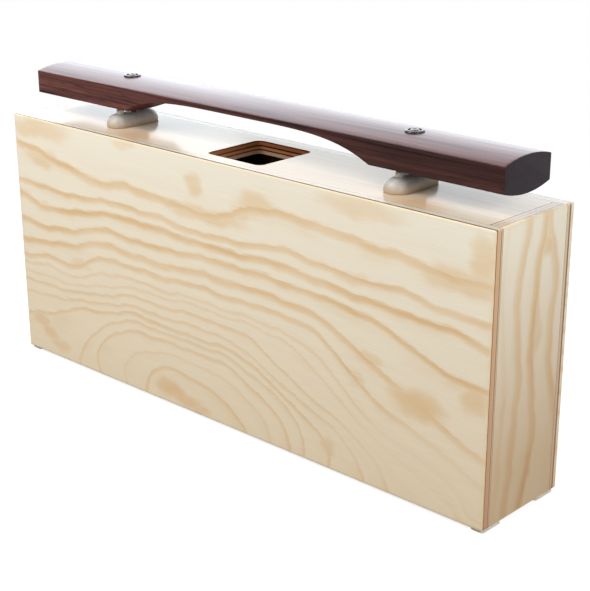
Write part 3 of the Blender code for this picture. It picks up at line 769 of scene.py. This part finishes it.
# %% [markdown]
# ## Turned pieces
# Studs, grommets and washers are round, so each is a half outline turned about its own upright axis. The
# outline is a short list of radius and height pairs; a corner that a mould or a tumbler has rounded gets
# a few points on an arc. The same tool makes the cutters for the holes in the bar and the rests.

# %% Turned pieces tool
TURN_STEPS = 64


def turned(outline, centre):
    """Points of an outline (radius, height) turned about the axis at centre: x = cx + r cos a, and
    y = cy + r sin a."""
    radius, z = np.array(outline, float).T[:, :, None]
    angle = np.linspace(0, 2 * np.pi, TURN_STEPS, endpoint=False)
    return np.stack([centre[0] + radius * np.cos(angle), centre[1] + radius * np.sin(angle),
                     np.broadcast_to(z, (len(z), TURN_STEPS))], -1)


def corner(middle, radius, start, end, steps=5):
    """Points on an arc round middle, from angle start to end in degrees, for a rounded corner."""
    angle = np.radians(np.linspace(start, end, steps))
    return [(middle[0] + radius * math.cos(a), middle[1] + radius * math.sin(a)) for a in angle]


def middle_of(node):
    """The centre of a CAD node seen from above, and its lowest and highest z."""
    low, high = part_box(node)
    return ((low.x + high.x) / 2, (low.y + high.y) / 2), low.z, high.z


def drilled(piece, cutters):
    """Cuts turned shapes out of a piece with an exact Boolean and keeps the result as the piece's mesh."""
    solids = [stand_in(f"{piece.name}_cutter_{k}", c, skin(c), None) for k, c in enumerate(cutters)]
    for solid in solids:
        cut = piece.modifiers.new("hole", "BOOLEAN")
        cut.operation = "DIFFERENCE"
        cut.solver = "EXACT"
        cut.object = solid
    graph = bpy.context.evaluated_depsgraph_get()
    old, piece.data = piece.data, bpy.data.meshes.new_from_object(piece.evaluated_get(graph))
    name = old.name
    piece.modifiers.clear()
    for solid in solids:
        bpy.data.meshes.remove(solid.data)
    bpy.data.meshes.remove(old)
    piece.data.name = name
    piece.data.set_sharp_from_angle(angle=SMOOTH_TO)


print("turned pieces use", TURN_STEPS, "steps")

# %% [markdown]
# ## The rosewood bar
# The bar is sawn, planed to a low crown above and a rounded belly below, and thinned underneath in a long
# arch that tunes it. It is a cross-section carried along its length: crown, two sides and belly, with the
# long edges just broken by sandpaper. The arch is one more rule, a curve that rises steeply at its ends
# and is nearly flat in the middle, and the underside is whichever is higher, belly or arch.

# %% Cross-section of the bar
CROWN, BELLY = 4.2 * MM, 4.6 * MM
ARCH_HALF, ARCH_HEIGHT, ARCH_POWER = 142.3 * MM, 16.0 * MM, 4.5
ARRIS, END_ARRIS = 0.6 * MM, 0.4 * MM
ARC_POINTS, SIDE_POINTS, ROUND_POINTS = 24, 9, 5   # points over half the crown or belly, a side, an arris


def rise(half_width, height, across):
    """How far an arc of that half width and height has left its top: R - sqrt(R^2 - across^2)."""
    radius = (half_width ** 2 + height ** 2) / (2 * height)
    return radius - np.sqrt(radius ** 2 - across ** 2)


def bar_section(x, low, high):
    """Cross-section loops (stations, points, 2) in y and z. Crown: top - rise(y). Belly: bottom + rise(y).
    Arch: bottom + BELLY + ARCH_HEIGHT * (1 - (|x| / ARCH_HALF) ** ARCH_POWER). The underside is the higher of
    the last two."""
    half = (high.y - low.y) / 2
    lean = math.asin(half / ((half ** 2 + CROWN ** 2) / (2 * CROWN)))
    crown_y = np.linspace(0, half - ARRIS + ARRIS * math.sin(lean), ARC_POINTS)
    belly_y = np.linspace(half - ARRIS, 0, ARC_POINTS)
    turn_top = np.linspace(lean, math.pi / 2, ROUND_POINTS)[1:]
    turn_low = np.linspace(math.pi / 2, 0, ROUND_POINTS)[:-1]
    down_side = np.linspace(0, 1, SIDE_POINTS)[1:-1]
    crown_z = high.z - rise(half, CROWN, crown_y)
    top_z = crown_z[-1] - ARRIS * math.cos(lean) + ARRIS * np.cos(turn_top)
    arch = low.z + BELLY + ARCH_HEIGHT * (1 - (np.abs(x) / ARCH_HALF) ** ARCH_POWER)
    belly_z = np.maximum(low.z + rise(half, BELLY, belly_y), arch[:, None])
    low_z = belly_z[:, :1] + ARRIS - ARRIS * np.cos(turn_low)
    side_z = top_z[-1] + (low_z[:, :1] - top_z[-1]) * down_side
    count = len(x)
    z = np.hstack([np.tile(crown_z, (count, 1)), np.tile(top_z, (count, 1)), side_z, low_z, belly_z])
    y = np.concatenate([crown_y, half - ARRIS + ARRIS * np.sin(turn_top), np.full(len(down_side), half),
                        half - ARRIS + ARRIS * np.sin(turn_low), belly_y])
    y = np.tile(y, (count, 1))
    return np.stack([np.hstack([y, -y[:, -2:0:-1]]), np.hstack([z, z[:, -2:0:-1]])], -1)


low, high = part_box("sound_bar")
print("points in a section:", bar_section(np.zeros(1), low, high).shape[1])

# %% [markdown]
# The sections stand close together where arch and belly meet, because that edge curves, and further apart
# elsewhere. At both ends a few sections shrink a little, which breaks the sawn end's edge.

# %% Sound bar
BAR_PITCH, ARCH_END_PITCH = 3.0 * MM, 0.7 * MM
ARCH_END = (136 * MM, 152 * MM)   # the stretch either side of the middle where arch and belly meet

bar_middle = (low.x + high.x) / 2
half_length = (high.x - low.x) / 2
ends = np.arange(*ARCH_END, ARCH_END_PITCH)
even = np.linspace(0, half_length - END_ARRIS, int(half_length / BAR_PITCH))
even = even[(even < ARCH_END[0]) | (even > ARCH_END[1])]
half_x = np.sort(np.concatenate([even, ends]))
x = np.concatenate([-half_x[:0:-1], half_x])
loops = bar_section(x, low, high)
round_off = np.linspace(0, math.pi / 2, ROUND_POINTS)[1:]
tip_x = half_length - END_ARRIS + END_ARRIS * np.sin(round_off)
centre_z = (low.z + high.z) / 2
shrink = 1 - END_ARRIS * (1 - np.cos(round_off))[:, None, None] / np.array([high.y, (high.z - low.z) / 2])
tips = (loops[-1] - [0, centre_z]) * shrink + [0, centre_z]
x = np.concatenate([-tip_x[::-1], x, tip_x]) + bar_middle
loops = np.concatenate([tips[::-1], loops, tips])
bar_points = np.concatenate([np.broadcast_to(x[:, None, None], (*loops.shape[:2], 1)), loops], -1)
bar_faces = [face[::-1] for face in skin(bar_points)]
sound_bar = stand_in("rosewood_bar", bar_points, bar_faces, "sound_bar")
print("bar:", len(x), "sections")

# %% [markdown]
# Two holes go through the bar at the nodes, the places that hardly move when it sounds. Each is stepped:
# a spot face for the grommet's flange, a sleeve hole for its body, and a clear hole for the screw.

# %% Nodal holes
SPOT_FACE, SLEEVE_HOLE, SCREW_HOLE = 8.05 * MM, 5.3 * MM, 3.6 * MM   # radii of the stepped hole
SPOT_DEPTH, SLEEVE_DEPTH = 1.6 * MM, 9.6 * MM   # below the crown's top
PAST = 4.0 * MM                # a cutter reaches this far past what it cuts
crown_top = high.z
bores = []
for node in ("grommet_left", "grommet_right"):
    at, _, _ = middle_of(node)
    bores.append(turned([(SCREW_HOLE, low.z - PAST), (SCREW_HOLE, crown_top - SLEEVE_DEPTH),
                         (SLEEVE_HOLE, crown_top - SLEEVE_DEPTH), (SLEEVE_HOLE, crown_top - SPOT_DEPTH),
                         (SPOT_FACE, crown_top - SPOT_DEPTH), (SPOT_FACE, crown_top + PAST)], at))
drilled(sound_bar, bores)
print("bar:", len(sound_bar.data.vertices), "points once drilled")

# %% [markdown]
# ## Rosewood, oiled
# Rosewood is dark red-brown with nearly black streaks along the grain and fine open pores, like short
# scratches. The crown is planed, oiled and polished by hands and cloths; its colour is drawn paler and its
# streaks fainter, which is a painted highlight. The sides are only planed, the underside is drawn redder, and
# the sawn ends show pores end-on and stay dull and greyer. Streaks, growth lines and pores are noises drawn
# out along the bar. The share of the surface that faces along X picks out the ends, and the share that faces
# up or down picks out crown and underside. The sides also darken towards the right end, which is painted
# shade. Both are part of the material, so they stay in every view.

# %% Rosewood colour
STREAK = (170.0, 5.0)          # mm: length and width of a colour streak
VEIN = (330.0, 3.8)            # mm: length and spacing of the thin, nearly black growth lines
WAVE = 0.5                     # how much streaks and growth lines sway, as a share of their size
PORE = (13.0, 0.55)            # mm: a pore's length and width, drawn coarser than the real 0.2 mm
SPECK = 0.9                    # mm: a pore seen end-on, drawn coarser too
PORES_SEEN = (0.56, 0.70, 0.65)   # the noise between which a pore shows, and how dark it gets
VEIN_DARK = 0.62
ROSE_DARK, ROSE_BASE, ROSE_RED, ROSE_PORE = "#2A1110", "#58322E", "#704239", "#1C0C0B"
END_GRAIN, END_DARK = "#4D434C", "#463B44"
DOWN_FACING_RED = "#FFC4B4"          # multiplies the colour of the faces that face down, which draws the underside redder
CROWN_LIGHT_GAIN, EVENED = 1.32, 0.35   # painted highlight on the crown: how much paler it is drawn, and how far its streaks fade
SIDE_SHADE = (60.0, 170.0, 0.39)   # painted shade: mm along the bar between which its sides darken to the right, and what is left
END_FACING, CROWN_FACING, CUT_FACING = (0.75, 0.95), (0.3, 0.8), (-0.3, -0.8)   # of a normal's length

rosewood, tree = blank("rosewood_oiled")
place = add(tree, "TexCoord", out="Object")
xyz = add(tree, "SeparateXYZ", {0: place}, out=None)
normal = add(tree, "SeparateXYZ", {0: add(tree, "NewGeometry", out="Normal")}, out=None)
at_end = add(tree, "Math", {0: normal.outputs["X"]}, operation="ABSOLUTE")
at_end = add(tree, "MapRange", {"Value": at_end, **span(*END_FACING)})
crown_lit = add(tree, "MapRange", {"Value": normal.outputs["Z"], **span(*CROWN_FACING)})
below = add(tree, "MapRange", {"Value": normal.outputs["Z"], **span(*CUT_FACING)})

streak = grain_noise(tree, 0, STREAK, 4.0, Roughness=0.55, Distortion=WAVE)
colour = add(tree, "ValToRGB", {0: streak}, stops=(
    (0.34, linear(ROSE_DARK)), (0.45, linear(ROSE_BASE)), (0.54, linear(ROSE_BASE)),
    (0.66, linear(ROSE_RED))))
pore = grain_noise(tree, 0, PORE, 2.0)
pore = add(tree, "MapRange", {"Value": pore, **span(*PORES_SEEN[:2], 0.0, PORES_SEEN[2])})
colour = add(tree, "Mix", {0: pore, MIX_A: colour, MIX_B: linear(ROSE_PORE)}, **BLEND)
veins = grain_noise(tree, 0, VEIN, 1.0, Distortion=WAVE)
veins = add(tree, "ValToRGB", {0: veins}, stops=(
    (0.44, grey(0.0)), (0.485, grey(VEIN_DARK)), (0.50, grey(VEIN_DARK)), (0.53, grey(0.0))))
colour = add(tree, "Mix", {0: veins, MIX_A: colour, MIX_B: linear(ROSE_PORE)}, **BLEND)
speck = add(tree, "TexNoise", {"Vector": place, "Scale": 1 / (SPECK * MM), "Detail": 3.0})
sawn = add(tree, "ValToRGB", {0: speck}, stops=((0.35, linear(END_DARK)), (0.6, linear(END_GRAIN))))
colour = add(tree, "Mix", {0: at_end, MIX_A: colour, MIX_B: sawn}, **BLEND)
colour = add(tree, "Mix", {0: below, MIX_A: colour, MIX_B: linear(DOWN_FACING_RED)}, **STAIN)
# Painted highlight: the crown is drawn paler with fainter streaks. Painted shade: the other faces darken to
# the right.
evened = add(tree, "Math", {0: crown_lit, 1: EVENED}, operation="MULTIPLY")
colour = add(tree, "Mix", {0: evened, MIX_A: colour, MIX_B: linear(ROSE_BASE)}, **BLEND)
start, stop, left_over = SIDE_SHADE
gain = add(tree, "MapRange", {"Value": xyz.outputs["X"], **span(start * MM, stop * MM, 1.0, left_over)})
gain = add(tree, "Mix", {0: crown_lit, 2: gain, 3: CROWN_LIGHT_GAIN})
colour = add(tree, "VectorMath", {0: colour, "Scale": gain}, operation="SCALE")
print("rosewood colour:", len(tree.nodes), "nodes")

# %% [markdown]
# The oil is a thin coat over the wood. It is full on the crown, most of all in the middle where the bar
# is struck and wiped, and on the flat of the arch, and there is little of it on the planed sides.

# %% Rosewood polish
WOOD_NOISE, PLANED_ROUGH, SAWN_ROUGH = (0.3, 0.7), (0.30, 0.40), 0.62
PORE_RELIEF = (0.25, 0.08)     # strength, and depth in mm
SIDE_OIL, ARCH_OIL = 0.35, 0.7   # the crown's oil counts as 1
CROWN_OIL_FACING, ARCH_FACING = (0.0, 0.7), (-0.92, -0.96)
STREAK_OIL = (0.35, 0.6, 0.90, 1.04)   # dark streaks drink the oil: two noises, and what is left at each
STRUCK = (70.0, 170.0, 1.10)   # mm from the middle between which extra polish fades, and its gain
OIL_ROUGH, OIL_IOR = 0.30, 1.42

rough = add(tree, "MapRange", {"Value": streak, **span(*WOOD_NOISE, *PLANED_ROUGH)})
rough = add(tree, "Mix", {0: at_end, 2: rough, 3: SAWN_ROUGH})
bump = add(tree, "Bump", {"Strength": PORE_RELIEF[0], "Distance": PORE_RELIEF[1] * MM, "Height": pore},
           invert=True)
oil = add(tree, "MapRange", {"Value": normal.outputs["Z"], **span(*CROWN_OIL_FACING, SIDE_OIL, 1.0)})
arch_oil = add(tree, "MapRange", {"Value": normal.outputs["Z"], **span(*ARCH_FACING, 0.0, ARCH_OIL)})
oil = add(tree, "Math", {0: oil, 1: arch_oil}, operation="MAXIMUM")
start, stop, most = STRUCK
struck = add(tree, "Math", {0: xyz.outputs["X"]}, operation="ABSOLUTE")
struck = add(tree, "MapRange", {"Value": struck, **span(start * MM, stop * MM, most, 1.0)})
drunk = add(tree, "MapRange", {"Value": streak, **span(*STREAK_OIL)})
drunk = add(tree, "Math", {0: drunk, 1: struck}, operation="MULTIPLY")
oil = add(tree, "Math", {0: oil, 1: drunk}, operation="MULTIPLY", use_clamp=True)
add(tree, "OutputMaterial", {0: add(tree, "BsdfPrincipled", {
    "Base Color": colour, "Roughness": rough, "Specular IOR Level": 0.0, "Normal": bump,
    "Coat Weight": oil, "Coat Roughness": OIL_ROUGH, "Coat IOR": OIL_IOR})})
sound_bar.data.materials.clear()
sound_bar.data.materials.append(rosewood)
print("rosewood on", sound_bar.name)

# %% [markdown]
# ## Moulded rests and feet
# The two rests under the bar are half-round mouldings with rounded ends, and the feet are thin pads with
# rounded corners. Both are outlines that draw in as they rise: every outline point sits at a corner
# centre plus a direction times the corner radius, so drawing in is only a shorter radius and the straight
# sides follow by themselves.

# %% Rests
OUTLINE_STEPS = 16             # steps round a quarter of the outline


def moulded(profile, half_x, half_y, radius, centre):
    """Loops of a rounded rectangle, one for each (draw-in, z) of the profile: corner centre + direction *
    (radius - draw-in), where the corner centres lie radius inside the half sizes."""
    angle = np.linspace(0, 2 * np.pi, 4 * OUTLINE_STEPS, endpoint=False) + np.pi / (4 * OUTLINE_STEPS)
    way = np.stack([np.cos(angle), np.sin(angle)], -1)
    middle = np.sign(way) * np.array([half_x - radius, half_y - radius])
    draw_in, z = np.array(profile, float).T[:, :, None]
    flat = middle + way * (radius - draw_in)[:, :, None]
    return np.concatenate([flat + np.array(centre), np.broadcast_to(z[:, :, None], (*flat.shape[:2], 1))], -1)


def eased(edge, z, start, end):
    """Profile points of a rounded edge: an arc of radius edge round (edge, z), from start to end degrees."""
    return [(edge - dx, z + dz) for dx, dz in corner((0, 0), edge, start, end)]


REST_WALL, REST_FLAT = 2.0 * MM, 3.4 * MM   # height of the dome's upright foot, width of its flat ridge
REST_EDGE = 0.3 * MM
DOME_STEPS = 19
DOME_DROP = 1.5 * MM           # the drawn dome stays this far below the CAD rest's top, as in the picture
STUD_HOLE, STUD_HOLE_DEPTH = 3.45 * MM, 2.6 * MM
REST_SCREW_HOLE = 2.65 * MM

rests = {}
for node in ("rest_left", "rest_right"):
    low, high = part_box(node)
    at, bottom, top = middle_of(node)
    top -= DOME_DROP
    half_x, half_y = (high.x - low.x) / 2, (high.y - low.y) / 2
    dome_in, dome_up = half_x - REST_FLAT / 2, top - bottom - REST_WALL
    swell = np.radians(np.linspace(0, 90, DOME_STEPS))
    profile = eased(REST_EDGE, bottom + REST_EDGE, -90, 0)
    profile += list(zip(dome_in * (1 - np.cos(swell)), bottom + REST_WALL + dome_up * np.sin(swell)))
    points = moulded(profile, half_x, half_y, half_x, at)
    rests[node] = stand_in(node.replace("rest", "moulded_rest"), points, skin(points), node)
    side = node.split("_")[1]
    holes = []
    for stud in (f"stud_{side}_front", f"stud_{side}_back"):
        hole_at, _, _ = middle_of(stud)
        holes.append(turned([(STUD_HOLE, top - STUD_HOLE_DEPTH), (STUD_HOLE, top + PAST)], hole_at))
    screw_at, _, _ = middle_of(f"screw_{side}")
    holes.append(turned([(REST_SCREW_HOLE, bottom - PAST), (REST_SCREW_HOLE, top + PAST)], screw_at))
    drilled(rests[node], holes)
print("rests:", [len(piece.data.vertices) for piece in rests.values()], "points")

# %% Feet
FOOT_CORNER, FOOT_EDGE = 2.5 * MM, 0.5 * MM
feet = {}
for node in [name for name in frame["nodes"] if name.startswith("foot_")]:
    low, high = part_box(node)
    at, bottom, top = middle_of(node)
    profile = eased(FOOT_EDGE, bottom + FOOT_EDGE, -90, 0) + eased(FOOT_EDGE, top - FOOT_EDGE, 0, 90)
    points = moulded(profile, (high.x - low.x) / 2, (high.y - low.y) / 2, FOOT_CORNER, at)
    feet[node] = stand_in(node.replace("foot", "foot_pad"), points, skin(points), node)
print("feet:", sorted(feet))

# %% [markdown]
# ## Studs, grommets and washers
# The studs are soft plugs that stand in the rests and carry the bar; when the bar is pressed down they
# flatten. The grommets are flanged rubber bushes in the nodal holes, with a seat for a thin steel washer
# under each screw head. Each outline starts at the bottom and runs round the piece.

# %% Studs
STUD_DOME, STUD_SWELL, STUD_EDGE = 0.8 * MM, 0.12 * MM, 0.5 * MM
STUD_STEPS, DOME_SHARES = 9, (0.8, 0.6, 0.4, 0.2, 0.05)   # up the side; of the radius, over the dome
studs = {}
for node in [name for name in frame["nodes"] if name.startswith("stud_")]:
    low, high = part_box(node)
    at, bottom, top = middle_of(node)
    radius = (high.x - low.x) / 2
    up = np.linspace(0, 1, STUD_STEPS)
    side = radius - STUD_SWELL * np.abs(2 * up - 1) ** 2
    outline = list(zip(side, bottom + up * (top - bottom - STUD_DOME - STUD_EDGE)))
    outline += corner((radius - STUD_SWELL - STUD_EDGE, outline[-1][1]), STUD_EDGE, 0, 60)[1:]
    flat_r, flat_z = outline[-1]
    outline += [(flat_r * s, top - (top - flat_z) * s ** 2) for s in DOME_SHARES]
    points = turned(outline, at)
    studs[node] = stand_in(node.replace("stud", "soft_stud"), points, skin(points), node)
    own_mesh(studs[node])

print("studs:", sorted(studs))

# %% Grommets and washers
BUSH_BORE, BUSH_SLEEVE, BUSH_SEAT = 2.65 * MM, 5.0 * MM, 5.3 * MM   # radii
FLANGE_HEIGHT, SEAT_DEPTH, FLANGE_ROUND, BUSH_EDGE = 2.6 * MM, 1.8 * MM, 1.1 * MM, 0.3 * MM
bushes = {}
for node in ("grommet_left", "grommet_right"):
    low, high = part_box(node)
    at, bottom, top = middle_of(node)
    rim, under = (high.x - low.x) / 2, top - FLANGE_HEIGHT
    outline = [(BUSH_BORE, bottom)] + corner((BUSH_SLEEVE - BUSH_EDGE, bottom + BUSH_EDGE), BUSH_EDGE, -90, 0)
    outline += [(BUSH_SLEEVE, under)] + corner((rim - BUSH_EDGE, under + BUSH_EDGE), BUSH_EDGE, -90, 0)
    outline += corner((rim - FLANGE_ROUND, top - FLANGE_ROUND), FLANGE_ROUND, 0, 90, 7)
    outline += corner((BUSH_SEAT + BUSH_EDGE, top - BUSH_EDGE), BUSH_EDGE, 90, 180)
    outline += [(BUSH_SEAT, top - SEAT_DEPTH), (BUSH_BORE, top - SEAT_DEPTH)]
    points = turned(outline, at)
    bushes[node] = stand_in(node.replace("grommet", "rubber_grommet"), points, skin(points, ring=True),
                            node)

WASHER_EDGE = 0.2 * MM
washers = {}
for node in ("washer_left", "washer_right"):
    low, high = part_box(node)
    at, bottom, top = middle_of(node)
    rim = (high.x - low.x) / 2
    outline = [(BUSH_BORE, bottom)] + corner((rim - WASHER_EDGE, bottom + WASHER_EDGE), WASHER_EDGE, -90, 0)
    outline += corner((rim - WASHER_EDGE, top - WASHER_EDGE), WASHER_EDGE, 0, 90) + [(BUSH_BORE, top)]
    points = turned(outline, at)
    washers[node] = stand_in(node.replace("washer", "plain_washer"), points, skin(points, ring=True),
                             node)
print("grommets:", sorted(bushes), "washers:", sorted(washers))

# %% [markdown]
# ## The small parts' finishes
# Six plain finishes are left. Each has its own small grain, so that none is a single flat colour when looked
# at closely. Five are moulded or tumbled and share one function. The screws get a material of their own,
# because their shanks are painted dark, as painted shade in the holes.

# %% Small finishes
MOTTLE, MOULD_RELIEF = (0.3, 0.7), (0.12, 0.05)   # the noise's range; strength, and height in mm


def moulding(name, dark, pale, grain, rough, foot=None, **shader):
    """A moulded finish: two near colours mixed by a noise whose grain is a size in mm, the same noise in the
    roughness (low, high) and as a faint bump. foot is (bottom, top, tint): from top down to bottom the colour
    is more and more multiplied by the tint, a painted warm light. Other values go straight to the shader's
    sockets."""
    material, tree = blank(name)
    place = add(tree, "TexCoord", out="Object")
    mottle = add(tree, "TexNoise", {"Vector": place, "Scale": 1 / (grain * MM), "Detail": 3.0})
    tint = add(tree, "ValToRGB", {0: mottle}, stops=tuple(zip(MOTTLE, (linear(dark), linear(pale)))))
    if foot:
        bottom, top, painted_warmth = foot
        near = add(tree, "SeparateXYZ", {0: place}, out="Z")
        near = add(tree, "MapRange", {"Value": near, **span(top, bottom)})
        tint = add(tree, "Mix", {0: near, MIX_A: tint, MIX_B: linear(painted_warmth)}, **STAIN)
    gloss = add(tree, "MapRange", {"Value": mottle, **span(0.0, 1.0, *rough)})
    relief, height = MOULD_RELIEF
    bump = add(tree, "Bump", {"Strength": relief, "Distance": height * MM, "Height": mottle})
    sockets = {"Base Color": tint, "Roughness": gloss, "Normal": bump}
    sockets.update({key.replace("_", " "): value for key, value in shader.items()})
    add(tree, "OutputMaterial", {0: add(tree, "BsdfPrincipled", sockets)})
    return material


REST_WARM_LIGHT = "#EDCFA8"          # painted warm light from the wood below: the rests are drawn warmer low down
WARM_UP = 0.65                 # share of a rest's height over which that fades out
rest_low, rest_high = (v.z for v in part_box("rest_left"))
rest_warm_light = (rest_low, rest_low + WARM_UP * (rest_high - rest_low), REST_WARM_LIGHT)
NICKEL, NICKEL_ROUGH = ("#86827C", "#A29E97"), (0.24, 0.40)

# Moulded ABS: a soft sheen with faint flow marks, pale grey, with painted warm light from the wood at the
# foot.
grey_moulding = moulding("grey_white_abs_moulded", "#B1AFAC", "#BFBDBA", 3.5, (0.32, 0.48), rest_warm_light,
                         IOR=1.46)
# Silicone: duller than the rests and a little creamy.
silicone = moulding("grey_silicone_moulded", "#CFCAC0", "#DDD9D0", 1.6, (0.45, 0.6), IOR=1.41)
# Black rubber: nearly black, with the broken highlights of a fine mould texture.
rubber = moulding("black_rubber_moulded", "#262324", "#353132", 0.7, (0.20, 0.32), IOR=1.5)
# Nickelled steel out of the tumbling barrel: a soft, slightly yellow mirror.
nickel = moulding("nickelled_steel_barrel_finished", *NICKEL, 0.5, NICKEL_ROUGH, Metallic=1.0)
# Pale rubber pads: matt and chalky.
pad = moulding("pale_grey_rubber_moulded", "#D5D1C0", "#E6E3D6", 0.9, (0.6, 0.8), IOR=1.5)
finishes = ((rests, grey_moulding), (studs, silicone), (bushes, rubber), (washers, nickel), (feet, pad))
for group, finish in finishes:
    for piece in group.values():
        piece.data.materials.clear()
        piece.data.materials.append(finish)

print("finishes:", [finish.name for _, finish in finishes])

# %% Screws
SHANK_BELOW = 4.0              # mm under the crown below which the screw is drawn dark and rough: painted shade in the hole
SHANK_SHADE, SHANK_ROUGH = "#4A4642", 0.65
BRUSH = 0.4                    # mm: the tumbling marks, drawn coarser than they are

# Nickelled steel again: the same soft mirror on the head, and a shank painted dark, as painted shade that
# keeps the hole dark.
screw_steel, tree = blank("nickelled_steel_screw_oiled")
place = add(tree, "TexCoord", out="Object")
shank = add(tree, "SeparateXYZ", {0: place}, out="Z")
shank = add(tree, "Math", {0: shank, 1: crown_top - SHANK_BELOW * MM}, operation="LESS_THAN")
brush = add(tree, "TexNoise", {"Vector": place, "Scale": 1 / (BRUSH * MM), "Detail": 3.0})
tint = add(tree, "ValToRGB", {0: brush}, stops=tuple(zip(MOTTLE, map(linear, NICKEL))))
tint = add(tree, "Mix", {0: shank, MIX_A: tint, MIX_B: linear(SHANK_SHADE)}, **BLEND)
gloss = add(tree, "MapRange", {"Value": brush, **span(0.0, 1.0, *NICKEL_ROUGH)})
gloss = add(tree, "Mix", {0: shank, 2: gloss, 3: SHANK_ROUGH})
steel = add(tree, "BsdfPrincipled", {"Base Color": tint, "Roughness": gloss, "Metallic": 1.0})
add(tree, "OutputMaterial", {0: steel})
for node in ("screw_left", "screw_right"):
    frame["nodes"][node].data.materials.clear()
    frame["nodes"][node].data.materials.append(screw_steel)
print("materials:", sorted(m.name for m in bpy.data.materials))
